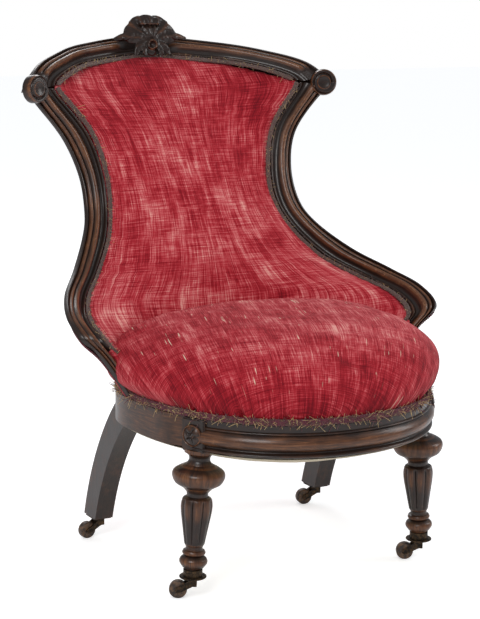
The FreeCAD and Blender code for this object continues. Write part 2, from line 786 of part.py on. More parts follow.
def cylinder(name, radius, height):
    return bind(doc.addObject("Part::Cylinder", name), Radius=radius, Height=height)


def cut_object(name, base, tool):
    result = doc.addObject("Part::Cut", name)
    result.Base = base
    result.Tool = tool
    return result


HUB_TOP = "(Sizes.caster_top - Sizes.caster_plate_thickness - Sizes.caster_gap)"
CHEEK_SPAN = "(Sizes.wheel_width + 2 * Sizes.wheel_side_gap + 2 * Sizes.horn_cheek)"


def place(piece, centre, turn_deg):
    """Moves a caster piece, made about its pin, to its leg."""
    spot = FreeCAD.Placement(centre, FreeCAD.Rotation(V(0, 0, 1), turn_deg))
    piece.Placement = spot.multiply(piece.Placement)
    parts.append(piece)


def caster_wheel(where):
    """A round-edged wheel with a bored middle, lying along X from its axle's middle."""
    tread = cylinder("tread_" + where, "Sizes.wheel_radius", "Sizes.wheel_width")
    rounded = doc.addObject("Part::Fillet", "rounded_tread_" + where)
    rounded.Base = tread
    doc.recompute()
    round_edge = size("wheel_round")
    rims = [index for index, edge in enumerate(tread.Shape.Edges, start=1) if edge.Closed and edge.Length > round_edge]
    rounded.Edges = [(index, round_edge, round_edge) for index in rims]
    bore = cylinder("wheel_bore_" + where, "Sizes.axle_radius + Sizes.axle_play", "Sizes.wheel_width")
    wheel = cut_object("caster_wheel_" + where, rounded, bore)
    doc.recompute()
    wheel.Placement = FreeCAD.Placement(V(size("caster_trail"), size("wheel_width") / 2, size("wheel_radius")),
                                        FreeCAD.Rotation(V(1, 0, 0), 90))
    return wheel


def caster_axle(where):
    """The pin that the wheel turns on, as long as the horn is wide."""
    axle = cylinder("caster_axle_" + where, "Sizes.axle_radius", CHEEK_SPAN)
    doc.recompute()
    axle.Placement = FreeCAD.Placement(V(size("caster_trail"), float(axle.Height) / 2, size("wheel_radius")),
                                       FreeCAD.Rotation(V(1, 0, 0), 90))
    return axle


def caster_horn(where):
    """The hub on the pin and the two cheeks that reach back to the axle, as one casting."""
    trail = size("caster_trail")
    span = size("wheel_width") + 2 * size("wheel_side_gap") + 2 * size("horn_cheek")
    hub_top = size("caster_top") - size("caster_plate_thickness") - size("caster_gap")
    hub_bottom = hub_top - size("horn_hub_height")
    half_hub = size("horn_hub_length") / 2
    wheel_front = trail - size("wheel_radius") - 1.0
    hub_rear = min(half_hub, wheel_front)
    axle_z = size("wheel_radius")
    eye = size("axle_radius") + 3.0
    hub = Part.makeBox(half_hub + hub_rear, span, hub_top - hub_bottom, V(-half_hub, -span / 2, hub_bottom))
    arm = Part.Face(Part.makePolygon([V(0, -span / 2, hub_top), V(0, -span / 2, hub_bottom),
                                      V(trail - 2, -span / 2, axle_z - eye + 0.4), V(trail + 2, -span / 2, axle_z + eye - 0.4),
                                      V(trail - 4, -span / 2, axle_z + eye + 2), V(0, -span / 2, hub_top)]))
    cheek = arm.extrude(V(0, size("horn_cheek"), 0))
    eye_disc = Part.makeCylinder(eye, size("horn_cheek"), V(trail, -span / 2, axle_z), V(0, 1, 0))
    cheek = cheek.fuse(eye_disc)
    other = cheek.copy()
    other.translate(V(0, span - size("horn_cheek"), 0))
    horn = hub.fuse(cheek).fuse(other)
    pin_bore = Part.makeCylinder(size("caster_pin_radius") + size("caster_pin_play"), 60, V(0, 0, 0))
    axle_bore = Part.makeCylinder(size("axle_radius"), 2 * span, V(trail, -span, axle_z), V(0, 1, 0))
    horn = one_solid(horn.cut(pin_bore).cut(axle_bore))
    piece = doc.addObject("Part::Feature", "caster_horn_" + where)
    piece.Shape = horn
    return piece


def caster_pin(where):
    """The riveted pin: its shank goes up into the leg and its head carries nothing but the horn's own weight."""
    plate_top = size("caster_top")
    hub_bottom = plate_top - size("caster_plate_thickness") - size("caster_gap") - size("horn_hub_height")
    head = 2.4
    shank = Part.makeCylinder(size("caster_pin_radius"), plate_top + PIN_RISE - 2 - hub_bottom, V(0, 0, hub_bottom))
    rivet = Part.makeCone(size("caster_pin_radius"), size("caster_pin_radius") + 1.4, head - size("caster_gap"),
                          V(0, 0, hub_bottom - head))
    neck = Part.makeCylinder(size("caster_pin_radius"), size("caster_gap"), V(0, 0, hub_bottom - size("caster_gap")))
    piece = doc.addObject("Part::Feature", "caster_pin_" + where)
    piece.Shape = one_solid(shank.fuse(neck).fuse(rivet))
    return piece


def caster_cup(where):
    """A beaded flange with a short cup round the turned leg's foot."""
    top = size("caster_top")
    thickness = size("caster_plate_thickness")
    flange = Part.makeCylinder(size("caster_cup_radius"), thickness, V(0, 0, top - thickness))
    wall_outer = size("leg_foot_radius") + size("caster_cup_wall")
    tower = Part.makeCylinder(wall_outer, size("caster_cup_height") - 2, V(0, 0, top))
    inside = Part.makeCylinder(size("leg_foot_radius") + 0.3, size("caster_cup_height"), V(0, 0, top))
    cup = flange.fuse(tower.cut(inside))
    cup = cup.cut(Part.makeCylinder(size("caster_pin_radius"), 60, V(0, 0, 0)))
    piece = doc.addObject("Part::Feature", "caster_cup_" + where)
    piece.Shape = one_solid(cup)
    return piece


def caster_plate(where):
    """A square screwed plate under a back leg."""
    side = size("caster_plate_side")
    thickness = size("caster_plate_thickness")
    plate = Part.makeBox(size("back_leg_thickness") - 2, side, thickness,
                         V(-(size("back_leg_thickness") - 2) / 2, -side / 2, size("caster_top") - thickness))
    plate = plate.cut(Part.makeCylinder(size("caster_pin_radius"), 60, V(0, 0, 0)))
    for x, y in PLATE_SCREWS:
        plate = plate.cut(screw(x, y, size("caster_top") - thickness))
    piece = doc.addObject("Part::Feature", "caster_plate_" + where)
    piece.Shape = one_solid(plate)
    return piece


def screw(x, y, z, length=14.0):
    """A countersunk wood screw that points up."""
    radius = size("screw_radius")
    head = Part.makeCone(radius * 1.9, radius, 2.0, V(x, y, z))
    shank = Part.makeCylinder(radius, length - 2.0, V(x, y, z + 2.0))
    return head.fuse(shank)


PLATE_SCREWS = [(-12.0, -14.0), (12.0, -14.0), (-12.0, 14.0), (12.0, 14.0)]
front_pin = V(leg_centre.x + foot_out, leg_centre.y, 0)
back_pin = V(back_foot.x, back_foot.y, 0)
TRAIL_TURNS = {"front_left": 151.0, "front_right": 151.0, "back_left": 170.0, "back_right": 186.0}
CASTERS = {
    "front_left": front_pin, "front_right": mirror_point(front_pin),
    "back_left": back_pin, "back_right": mirror_point(back_pin),
}
for where, centre in CASTERS.items():
    turn = TRAIL_TURNS[where]
    place(caster_wheel(where), centre, turn)
    place(caster_axle(where), centre, turn)
    place(caster_horn(where), centre, turn)
    place(caster_pin(where), centre, turn)
    place(caster_cup(where) if where.startswith("front") else caster_plate(where), centre, 0.0)
plate_screws = []
for side in (1, -1):
    for x, y in PLATE_SCREWS:
        plate_screws.append(screw(side * back_pin.x + x, back_pin.y + y, size("caster_top") - size("caster_plate_thickness")))
for hole in plate_screws:
    back_leg_left = back_leg_left.cut(hole)
back_leg_left = one_solid(back_leg_left)
back_leg_right = mirrored(back_leg_left)

keep("crest_rail", crest_rail)
keep("cresting_carving", cresting_shape)
keep("scroll_left", scroll_left)
keep("scroll_right", mirrored(scroll_left))
keep("stile_left", stile_left)
keep("stile_right", stile_right)
keep("arm_left", arm_left)
keep("arm_right", arm_right)
keep("front_seat_rail", front_rail)
keep("side_seat_rail_left", side_rail)
keep("side_seat_rail_right", side_rail_right)
keep("back_seat_rail", back_rail)
keep("front_leg_left", front_leg_left)
keep("front_leg_right", front_leg_right)
keep("back_leg_left", back_leg_left)
keep("back_leg_right", back_leg_right)
keep("rosette_left", rosette_left)
keep("rosette_right", mirrored(rosette_left))
keep("corner_blocks", corner_blocks)
keep("caster_plate_screws", Part.makeCompound(plate_screws))
keep("seat_webbing", webbing)
keep("seat_springs", springs)
keep("seat_hessian", hessian)
keep("seat_cushion", cushion)
keep("seat_gimp", seat_braid)
keep("bottom_cloth", bottom_cloth)
keep("back_pad", back_pad)
keep("back_gimp", Part.makeCompound(back_braids))
keep("outside_back_cover", outside_cover)

doc.recompute()

# The origin goes under the middle of the whole chair's box
exact_box = Part.makeCompound([piece.Shape for piece in parts]).optimalBoundingBox(False, False)
half_depth_shift = (exact_box.YMin + exact_box.YMax) / 2
for piece in parts:
    piece.Placement.Base = piece.Placement.Base - V(0, half_depth_shift, 0)
doc.recompute()
os.makedirs("parts", exist_ok=True)
for owner in doc.Objects:
    if "Invalid" in owner.State or "Error" in owner.State:
        raise RuntimeError("%s did not recompute" % owner.Name)
for piece in parts:
    shape = piece.Shape
    if shape.isNull() or not shape.isValid():
        raise RuntimeError("%s has a bad shape" % piece.Label)
for piece in parts:
    shape = piece.Shape
    print(piece.Label, round(shape.Volume / 1000, 1), "cm3", len(shape.Solids), "solids", len(shape.Faces), "faces")
    shape.exportStep("parts/%s.step" % piece.Label)
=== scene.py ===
"""Looks of the upholstered balloon back chair: carved walnut show-wood, crushed red velvet, braid and brass casters.

Metres, in the frame of the construction model: +X is the sitter's left, -Y is the front, +Z is up.
"""
import math
import random

import bmesh
import bpy
import numpy as np
from mathutils import Matrix, Vector, noise


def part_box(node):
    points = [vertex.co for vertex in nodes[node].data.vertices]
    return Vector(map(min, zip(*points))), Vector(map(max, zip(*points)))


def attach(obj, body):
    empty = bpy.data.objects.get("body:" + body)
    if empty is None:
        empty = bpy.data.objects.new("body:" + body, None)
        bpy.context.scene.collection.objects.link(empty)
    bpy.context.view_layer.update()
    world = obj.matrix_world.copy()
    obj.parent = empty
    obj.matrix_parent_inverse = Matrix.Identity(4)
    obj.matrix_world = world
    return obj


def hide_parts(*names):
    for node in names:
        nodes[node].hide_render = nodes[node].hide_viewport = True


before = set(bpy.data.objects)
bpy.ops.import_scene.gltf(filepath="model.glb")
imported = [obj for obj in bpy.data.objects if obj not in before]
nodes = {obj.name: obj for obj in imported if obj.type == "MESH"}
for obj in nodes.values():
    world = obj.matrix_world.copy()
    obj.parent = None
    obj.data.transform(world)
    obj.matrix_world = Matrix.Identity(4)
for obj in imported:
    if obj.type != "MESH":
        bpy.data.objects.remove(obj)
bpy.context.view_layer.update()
scene = bpy.context.scene
MM = 0.001


# Places that everything hangs on, read from the frame

back_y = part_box("back_seat_rail")[1].y
rail_bottom, rail_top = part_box("back_seat_rail")[0].z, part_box("back_seat_rail")[1].z
cushion_low, cushion_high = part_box("seat_cushion")
caster_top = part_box("caster_plate_back_left")[1].z
SEAT_HALF_WIDTH = 277 * MM
SEAT_FRONT_REACH = 332 * MM
SEAT_BACK_REACH = 205 * MM
seat_middle = back_y - SEAT_BACK_REACH
seat_centre_y = seat_middle - (SEAT_FRONT_REACH - SEAT_BACK_REACH) / 2
FRONT_POWER = 2.2
SCROLL = 295.5
WAIST = 229.0
WIDEST = 367.0
CREST_TOP = 600.0


# Small helpers for meshes


def new_object(name, mesh):
    made = bpy.data.objects.new(name, mesh)
    scene.collection.objects.link(made)
    return made


def shaded(mesh, angle_deg=38.0):
    """Smooth shading with the sharp edges kept sharp."""
    mesh.shade_smooth()
    mesh.set_sharp_from_angle(angle=math.radians(angle_deg))


def outwards(mesh):
    """Points every face of a closed mesh outwards."""
    work = bmesh.new()
    work.from_mesh(mesh)
    bmesh.ops.remove_doubles(work, verts=work.verts, dist=1e-6)
    bmesh.ops.recalc_face_normals(work, faces=work.faces)
    work.to_mesh(mesh)
    work.free()


def add_point_values(mesh, name, values):
    """A number at each vertex, for the materials."""
    layer = mesh.attributes.new(name, "FLOAT", "POINT")
    layer.data.foreach_set("value", [float(v) for v in values])


def add_point_vectors(mesh, name, vectors):
    layer = mesh.attributes.new(name, "FLOAT_VECTOR", "POINT")
    layer.data.foreach_set("vector", [float(c) for v in vectors for c in v])


def skin(name, rings, closed=True, capped=True, values=None):
    """A mesh through rings of equally many points.

    Each vertex carries its way along the rings and round them in "run", in metres, and values in "ridge"."""
    count = len(rings[0])
    points = [tuple(p) for ring in rings for p in ring]
    faces = []
    last = count if closed else count - 1
    for row in range(len(rings) - 1):
        for index in range(last):
            after = (index + 1) % count
            faces.append((row * count + index, row * count + after, (row + 1) * count + after, (row + 1) * count + index))
    if capped:
        faces.append(tuple(range(count)))
        faces.append(tuple((len(rings) - 1) * count + index for index in range(count)))
    mesh = bpy.data.meshes.new(name)
    mesh.from_pydata(points, [], faces)
    grid = np.array(points, float).reshape(len(rings), count, 3)
    along = np.concatenate([[0.0], np.cumsum(np.linalg.norm(np.diff(grid, axis=0), axis=2).mean(1))])
    around = np.concatenate([[0.0], np.cumsum(np.linalg.norm(np.diff(grid, axis=1), axis=2).mean(0))])
    run = [(along[row], around[index], 0.0) for row in range(len(rings)) for index in range(count)]
    add_point_vectors(mesh, "run", run)
    add_point_values(mesh, "ridge", values if values is not None else [0.3] * len(points))
    if closed:
        outwards(mesh)
    shaded(mesh)
    return new_object(name, mesh)


def spline(points, steps):
    """A smooth row of points through the given ones, steps to each stretch, with all the numbers of a point blended."""
    rows = [np.array(p, float) for p in points]
    first = rows[0] * 2 - rows[1]
    final = rows[-1] * 2 - rows[-2]
    rows = [first] + rows + [final]
    made = []
    for index in range(1, len(rows) - 2):
        a, b, c, d = rows[index - 1:index + 3]
        for step in range(steps):
            t = step / steps
            made.append(0.5 * (2 * b + (c - a) * t + (2 * a - 5 * b + 4 * c - d) * t ** 2 + (3 * b - a - 3 * c + d) * t ** 3))
    made.append(rows[-2])
    return made


def eased(value, low, high):
    """0 below low, 1 above high, and smooth in between."""
    t = max(0.0, min(1.0, (value - low) / (high - low)))
    return t * t * (3 - 2 * t)


def mirrored(points):
    return [Vector((-p[0], p[1], p[2])) for p in points]


def finish_piece(piece, material, slot, *replaced, body="chair"):
    """Gives a finished piece its material and body, and hides the nodes that it stands for. The slot is not used."""
    piece.data.materials.clear()
    piece.data.materials.append(material)
    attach(piece, body)
    if replaced:
        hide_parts(*replaced)
    return piece


# Small helpers for node trees


def feed(tree, socket, value):
    if isinstance(value, bpy.types.NodeSocket):
        tree.links.new(value, socket)
    else:
        socket.default_value = value


def node(tree, kind, inputs=None, **settings):
    made = tree.nodes.new(kind)
    for name, value in settings.items():
        setattr(made, name, value)
    for key, value in (inputs or {}).items():
        feed(tree, made.inputs[key], value)
    return made


def calc(tree, operation, first, second=0.0, clamp=False):
    return node(tree, "ShaderNodeMath", {0: first, 1: second}, operation=operation, use_clamp=clamp).outputs[0]


def stretched(tree, vector, scale):
    """The coordinates multiplied by a scale for each direction."""
    return node(tree, "ShaderNodeVectorMath", {0: vector, 1: scale}, operation="MULTIPLY").outputs[0]


def cloud(tree, vector, scale=1.0, detail=2.0, roughness=0.5, distortion=0.0):
    inputs = {"Vector": vector, "Scale": scale, "Detail": detail, "Roughness": roughness, "Distortion": distortion}
    return node(tree, "ShaderNodeTexNoise", inputs).outputs["Fac"]


def mixed(tree, factor, first, second):
    made = node(tree, "ShaderNodeMix", {0: factor, 6: first, 7: second}, data_type="RGBA")
    return made.outputs[2]


def colours(tree, factor, *stops):
    """A colour ramp through (place, colour) stops."""
    made = node(tree, "ShaderNodeValToRGB", {0: factor})
    ramp = made.color_ramp
    while len(ramp.elements) < len(stops):
        ramp.elements.new(0.5)
    for element, (place, colour) in zip(ramp.elements, stops):
        element.position = place
        element.color = (*colour, 1.0)
    return made.outputs["Color"]


def steps_between(tree, value, low, high):
    """0 below low and 1 above high."""
    inputs = {"Value": value, "From Min": low, "From Max": high}
    return node(tree, "ShaderNodeMapRange", inputs, clamp=True).outputs[0]


def new_material(name):
    """An empty material and its shader."""
    material = bpy.data.materials.new(name)
    material.use_nodes = True
    tree = material.node_tree
    tree.nodes.clear()
    shader = node(tree, "ShaderNodeBsdfPrincipled")
    output = node(tree, "ShaderNodeOutputMaterial")
    tree.links.new(shader.outputs[0], output.inputs["Surface"])
    return material, tree, shader


def bumped(tree, shader, height, strength, distance):
    made = node(tree, "ShaderNodeBump", {"Strength": strength, "Distance": distance, "Height": height})
    tree.links.new(made.outputs[0], shader.inputs["Normal"])


def own_value(tree, name, vector=False):
    made = node(tree, "ShaderNodeAttribute", attribute_name=name)
    return made.outputs["Vector" if vector else "Fac"]


def object_place(tree):
    return node(tree, "ShaderNodeTexCoord").outputs["Object"]


# Finishes

BLACKENED = (0.010, 0.0065, 0.005)
POLISH = (0.030, 0.013, 0.008)
NUT_BROWN = (0.115, 0.040, 0.014)
WORN_BROWN = (0.250, 0.098, 0.034)
BARE_EDGE = (0.420, 0.200, 0.085)


def walnut(name, vector_of, grain_scale, ridge=None, brown_share=0.35, worn=0.5):
    """Old French-polished walnut: nearly black in the hollows, brown where hands have worn it, with a fine grain."""
    material, tree, shader = new_material(name)
    place = vector_of(tree)
    grain = cloud(tree, stretched(tree, place, grain_scale), 1.0, 4.0, 0.65, 0.6)
    pores = cloud(tree, stretched(tree, place, tuple(4.0 * s for s in grain_scale)), 1.0, 2.0, 0.7)
    patches = cloud(tree, object_place(tree), 22.0, 3.0, 0.6)
    dark = colours(tree, grain, (0.30, BLACKENED), (0.70, POLISH))
    brown = colours(tree, grain, (0.28, POLISH), (0.50, NUT_BROWN), (0.74, WORN_BROWN))
    raised = own_value(tree, ridge) if ridge else brown_share
    rubbed = calc(tree, "ADD", calc(tree, "MULTIPLY", raised, 1.15), calc(tree, "MULTIPLY", calc(tree, "SUBTRACT", patches, 0.5), 1.3))
    base = mixed(tree, steps_between(tree, rubbed, 0.30, 0.95), dark, brown)
    chips = cloud(tree, stretched(tree, object_place(tree), (210.0, 210.0, 210.0)), 1.0, 3.0, 0.7)
    bare = calc(tree, "MULTIPLY", steps_between(tree, rubbed, 0.75, 1.15), steps_between(tree, chips, 0.60 - 0.08 * worn, 0.72))
    tree.links.new(mixed(tree, calc(tree, "MULTIPLY", bare, worn), base, (*BARE_EDGE, 1.0)), shader.inputs["Base Color"])
    tree.links.new(node(tree, "ShaderNodeMapRange", {"Value": patches, "To Min": 0.20, "To Max": 0.46}).outputs[0],
                   shader.inputs["Roughness"])
    shader.inputs["Specular IOR Level"].default_value = 0.4
    shader.inputs["Coat Weight"].default_value = 0.22
    shader.inputs["Coat Roughness"].default_value = 0.16
    bumped(tree, shader, calc(tree, "ADD", pores, calc(tree, "MULTIPLY", chips, 0.5)), 0.25, 0.0006)
    return material


def along_run(tree):
    return own_value(tree, "run", vector=True)


VELVET_DARK = (0.150, 0.0035, 0.0095)
VELVET_RED = (0.300, 0.0085, 0.0160)
VELVET_CRIMSON = (0.440, 0.0280, 0.0400)
VELVET_PINK = (0.620, 0.1350, 0.1400)
VELVET_PALE = (0.780, 0.3500, 0.3000)
BARE_THREAD = (0.780, 0.5600, 0.4200)


def velvet(name, lightness=0.0, slits=0.0, painted_light_by_height=None):
    """Crushed velvet: fine crossing streaks of the weave over broad clouds of pressed pile, with bare threads in slits,
    and painted light and shade that change with height.
    """
    material, tree, shader = new_material(name)
    weave = own_value(tree, "weave", vector=True)
    drift = cloud(tree, stretched(tree, weave, (9.0, 9.0, 0.0)), 1.0, 3.0, 0.6)
    warp = cloud(tree, stretched(tree, weave, (520.0, 16.0, 0.0)), 1.0, 3.0, 0.62)
    weft = cloud(tree, stretched(tree, weave, (15.0, 560.0, 0.0)), 1.0, 3.0, 0.62)
    wide_warp = cloud(tree, stretched(tree, weave, (70.0, 5.0, 0.0)), 1.0, 2.0, 0.6)
    crush = cloud(tree, stretched(tree, weave, (26.0, 22.0, 0.0)), 1.0, 4.0, 0.65, 0.8)
    tone = lightness + 0.5
    for share, part in ((1.35, warp), (1.15, weft), (0.65, wide_warp), (0.95, drift), (0.60, crush)):
        tone = calc(tree, "ADD", calc(tree, "MULTIPLY", calc(tree, "SUBTRACT", part, 0.5), share), tone)
    # Painted light and shade: the tone is made lighter or darker with height, for how the light falls on the
    # upholstery.
    if painted_light_by_height:
        height = node(tree, "ShaderNodeSeparateXYZ", {0: object_place(tree)}).outputs[2]
        low, high, low_painted_light, high_painted_light = painted_light_by_height
        inputs = {"Value": height, "From Min": low, "From Max": high, "To Min": low_painted_light, "To Max": high_painted_light}
        tone = calc(tree, "ADD", tone, node(tree, "ShaderNodeMapRange", inputs, clamp=True).outputs[0])
    base = colours(tree, tone, (0.10, VELVET_DARK), (0.36, VELVET_RED), (0.56, VELVET_CRIMSON), (0.80, VELVET_PINK), (0.98, VELVET_PALE))
    if slits:
        rip = cloud(tree, stretched(tree, weave, (210.0, 13.0, 0.0)), 1.0, 1.0, 0.4, 0.25)
        where = cloud(tree, stretched(tree, weave, (14.0, 18.0, 0.0)), 1.0, 1.0, 0.5)
        bare = calc(tree, "MULTIPLY", steps_between(tree, rip, 0.685, 0.72), steps_between(tree, where, 0.50, 0.58))
        base = mixed(tree, calc(tree, "MULTIPLY", bare, slits), base, (*BARE_THREAD, 1.0))
    tree.links.new(base, shader.inputs["Base Color"])
    shader.inputs["Roughness"].default_value = 0.85
    shader.inputs["Specular IOR Level"].default_value = 0.15
    shader.inputs["Sheen Weight"].default_value = 0.20
    shader.inputs["Sheen Roughness"].default_value = 0.35
    shader.inputs["Sheen Tint"].default_value = (1.0, 0.42, 0.42, 1.0)
    bumped(tree, shader, calc(tree, "ADD", warp, weft), 0.55, 0.0012)
    return material


def woven(name, light, dark, pitch, roughness=0.9):
    """Plain cloth: two crossing sets of threads on object coordinates, with soiling."""
    material, tree, shader = new_material(name)
    place = object_place(tree)
    turns = 1.0 / pitch
    threads = [node(tree, "ShaderNodeTexWave", {"Vector": place, "Scale": turns / 6.0, "Distortion": 1.2, "Detail": 1.0},
                    bands_direction=axis).outputs["Fac"] for axis in ("X", "Y")]
    height = calc(tree, "MULTIPLY", threads[0], threads[1])
    soil = cloud(tree, place, 14.0, 4.0, 0.6)
    tone = calc(tree, "ADD", calc(tree, "MULTIPLY", height, 0.5), calc(tree, "MULTIPLY", soil, 0.7))
    tree.links.new(colours(tree, tone, (0.2, dark), (0.8, light)), shader.inputs["Base Color"])
    shader.inputs["Roughness"].default_value = roughness
    bumped(tree, shader, height, 0.5, 0.0008)
    return material


def braid_yarn(name, stops):
    """Yarn of a faded braid, its colours changing from tuft to tuft."""
    material, tree, shader = new_material(name)
    place = object_place(tree)
    tufts = cloud(tree, place, 120.0, 3.0, 0.7)
    fibres = cloud(tree, place, 900.0, 2.0, 0.7)
    tone = calc(tree, "ADD", calc(tree, "MULTIPLY", tufts, 0.75), calc(tree, "MULTIPLY", fibres, 0.30))
    tree.links.new(colours(tree, tone, *stops), shader.inputs["Base Color"])
    shader.inputs["Roughness"].default_value = 0.95
    shader.inputs["Sheen Weight"].default_value = 0.25
    bumped(tree, shader, fibres, 0.6, 0.0006)
    return material


def metal(name, dark, bright, metallic, roughness):
    """Old metal: dull in the hollows, rubbed bright in patches."""
    material, tree, shader = new_material(name)
    place = object_place(tree)
    patches = cloud(tree, place, 160.0, 4.0, 0.65)
    pits = cloud(tree, place, 900.0, 2.0, 0.6)
    tree.links.new(colours(tree, patches, (0.42, dark), (0.72, bright)), shader.inputs["Base Color"])
    shader.inputs["Metallic"].default_value = metallic
    tree.links.new(node(tree, "ShaderNodeMapRange", {"Value": patches, "To Min": roughness + 0.15, "To Max": roughness - 0.1}).outputs[0],
                   shader.inputs["Roughness"])
    bumped(tree, shader, pits, 0.35, 0.0005)
    return material


moulding_walnut = walnut("moulding_walnut", along_run, (14.0, 420.0, 1.0), ridge="ridge", worn=0.8)
carving_walnut = walnut("carving_walnut", object_place, (60.0, 200.0, 200.0), ridge="ridge", worn=0.55)
turned_walnut = walnut("turned_walnut", along_run, (22.0, 300.0, 1.0), ridge="ridge", worn=0.5)
rail_walnut = walnut("rail_walnut", object_place, (26.0, 26.0, 330.0), brown_share=0.46, worn=0.5)
leg_walnut = walnut("leg_walnut", object_place, (330.0, 120.0, 22.0), brown_share=0.26, worn=0.4)
plain_wood = walnut("plain_wood", object_place, (26.0, 26.0, 300.0), brown_share=0.70, worn=0.2)
# Painted light on the back velvet: a painted highlight low down, where the pad faces up, and painted shade towards the
# top.
back_velvet = velvet("back_velvet", lightness=0.03, painted_light_by_height=(rail_top + 250 * MM, rail_top + 560 * MM, 0.07, -0.07))
# Painted light on the seat velvet: painted shade low on its sides and a painted highlight over its top.
seat_velvet = velvet("seat_velvet", lightness=-0.04, slits=0.95, painted_light_by_height=(rail_top + 70 * MM, rail_top + 122 * MM, -0.08, 0.10))
outside_velvet = velvet("outside_velvet", lightness=0.0)
hessian_cloth = woven("hessian_cloth", (0.50, 0.38, 0.22), (0.26, 0.18, 0.10), 1.6 * MM)
webbing_cloth = woven("webbing_cloth", (0.46, 0.36, 0.24), (0.22, 0.15, 0.09), 2.4 * MM)
calico = woven("calico", (0.74, 0.66, 0.50), (0.52, 0.43, 0.30), 1.0 * MM)
seat_yarn = braid_yarn("seat_yarn", ((0.30, (0.035, 0.010, 0.022)), (0.48, (0.13, 0.018, 0.035)), (0.62, (0.085, 0.045, 0.035)),
                                     (0.74, (0.50, 0.30, 0.10))))
back_yarn = braid_yarn("back_yarn", ((0.30, (0.045, 0.028, 0.022)), (0.50, (0.13, 0.085, 0.070)), (0.64, (0.11, 0.045, 0.040)),
                                     (0.78, (0.42, 0.27, 0.11))))
straw_thread = braid_yarn("straw_thread", ((0.30, (0.30, 0.17, 0.06)), (0.70, (0.72, 0.52, 0.24))))
old_brass = metal("old_brass", (0.018, 0.014, 0.011), (0.13, 0.075, 0.035), 0.75, 0.45)
spring_steel = metal("spring_steel", (0.16, 0.10, 0.07), (0.42, 0.32, 0.24), 1.0, 0.40)
wheel_brown = metal("wheel_brown", (0.030, 0.020, 0.015), (0.20, 0.105, 0.050), 0.0, 0.42)


# The show-wood frame: stations of outer and inner edge, as on the construction model, (across, back, up) in mm


def place(across, back, up):
    """A point given from the middle of the seat's back edge, on the top of the rails."""
    return (across * MM, back_y + back * MM, rail_top + up * MM)


def station(outer, inner):
    return [*place(*outer), *place(*inner)]


SCROLL_STATION = station((SCROLL + 35.5, 98, 512), (SCROLL - 35.5, 129, 514))
STILE_STATIONS = [
    SCROLL_STATION,
    station((SCROLL + 3.5, 115, 478), (SCROLL - 39.5, 122, 500)),
    station((WAIST + 22, 114, 415), (WAIST - 27, 111, 430)),
    station((WAIST, 90, 349), (WAIST - 48, 92, 360)),
    station((WAIST + 2, 59, 286), (WAIST - 49, 70, 295)),
    station((WAIST + 23, 23, 245), (WAIST - 30, 35, 242)),
]
ARM_STATIONS = [
    STILE_STATIONS[-1],
    station((WAIST + 66, -41, 201), (WAIST + 10, -13, 190)),
    station((WIDEST - 26, -107, 170), (WIDEST - 79, -77, 156)),
    station((WIDEST, -175, 146), (WIDEST - 48, -153, 134)),
    station((WIDEST - 3, -230, 116), (WIDEST - 50, -215, 106)),
    station((323, -230, 72), (288, -220, 66)),
    station((275, -232, 2), (252, -226, 2)),
]
CREST_STATIONS = [
    SCROLL_STATION,
    station((SCROLL - 3.5, 147, 553), (SCROLL - 48.5, 146, 528)),
    station((229, 207, CREST_TOP - 26), (205, 183, CREST_TOP - 56)),
    station((150, 267, CREST_TOP - 12), (136, 239, CREST_TOP - 44)),
    station((0, 317, CREST_TOP), (0, 285, CREST_TOP - 36)),
]
FRAME_STEPS = 12

# The moulding's section: stretches (start, end) in shares of the width, the level at both in mm, and how far each
# swells forwards. The last number is how rubbed its crown is.
MOULDING = [
    (0.00, 0.15, 8.0, 6.0, 6.5, 0.30),
    (0.15, 0.34, 6.0, 1.5, 4.5, 0.85),
    (0.34, 0.66, 1.5, 5.0, 7.5, 0.95),
    (0.66, 0.84, 5.0, 7.0, -2.0, 0.05),
    (0.84, 1.00, 7.0, 8.0, 5.5, 0.35),
]
STRETCH_STEPS = 9
# The rear, from the inner edge to the outer, falls away so that only the face is seen from the front
REAR = [(1.0, 8), (0.98, 17), (0.74, 18), (0.45, 16), (0.10, 11)]
CREST_REAR = [(1.0, 8), (0.98, 32), (0.64, 32), (0.30, 32), (0.06, 32)]


def moulding_section(outer, inner, tangent, swell=1.0, rear=REAR):
    """The section's points and how rubbed each is."""
    across = inner - outer
    width = across.length
    backward = tangent.cross(across).normalized()
    across.normalize()
    points = []
    rubbed = []
    for start, end, level_in, level_out, rise, rub in MOULDING:
        lift = swell if rub > 0.5 else 1.0
        for step in range(STRETCH_STEPS):
            t = step / STRETCH_STEPS
            arch = math.sin(math.pi * t) ** 0.8
            level = level_in + (level_out - level_in) * t - rise * arch * lift
            points.append(outer + across * ((start + (end - start) * t) * width) + backward * (level * MM))
            rubbed.append(rub * arch * (0.25 + 0.75 * lift))
    for share, level in rear:
        points.append(outer + across * (share * width) + backward * (level * MM))
        rubbed.append(0.1)
    return points, rubbed


def edges_of(stations, steps=FRAME_STEPS):
    """The outer and inner edge points of a run of stations."""
    rows = spline(stations, steps)
    return [Vector(row[:3]) for row in rows], [Vector(row[3:]) for row in rows]


def runs_tangents(outers, inners):
    middles = [(a + b) / 2 for a, b in zip(outers, inners)]
    last = len(middles) - 1
    return [(middles[min(i + 1, last)] - middles[max(i - 1, 0)]).normalized() for i in range(last + 1)]


def moulded(name, outers, inners, swells=None, rear=REAR):
    """A length of the moulding between two rows of edge points."""
    rings = []
    rubbed = []
    for index, tangent in enumerate(runs_tangents(outers, inners)):
        points, rub = moulding_section(outers[index], inners[index], tangent, swells[index] if swells else 1.0, rear)
        rings.append(points)
        rubbed += rub
    return skin(name, rings, values=rubbed)


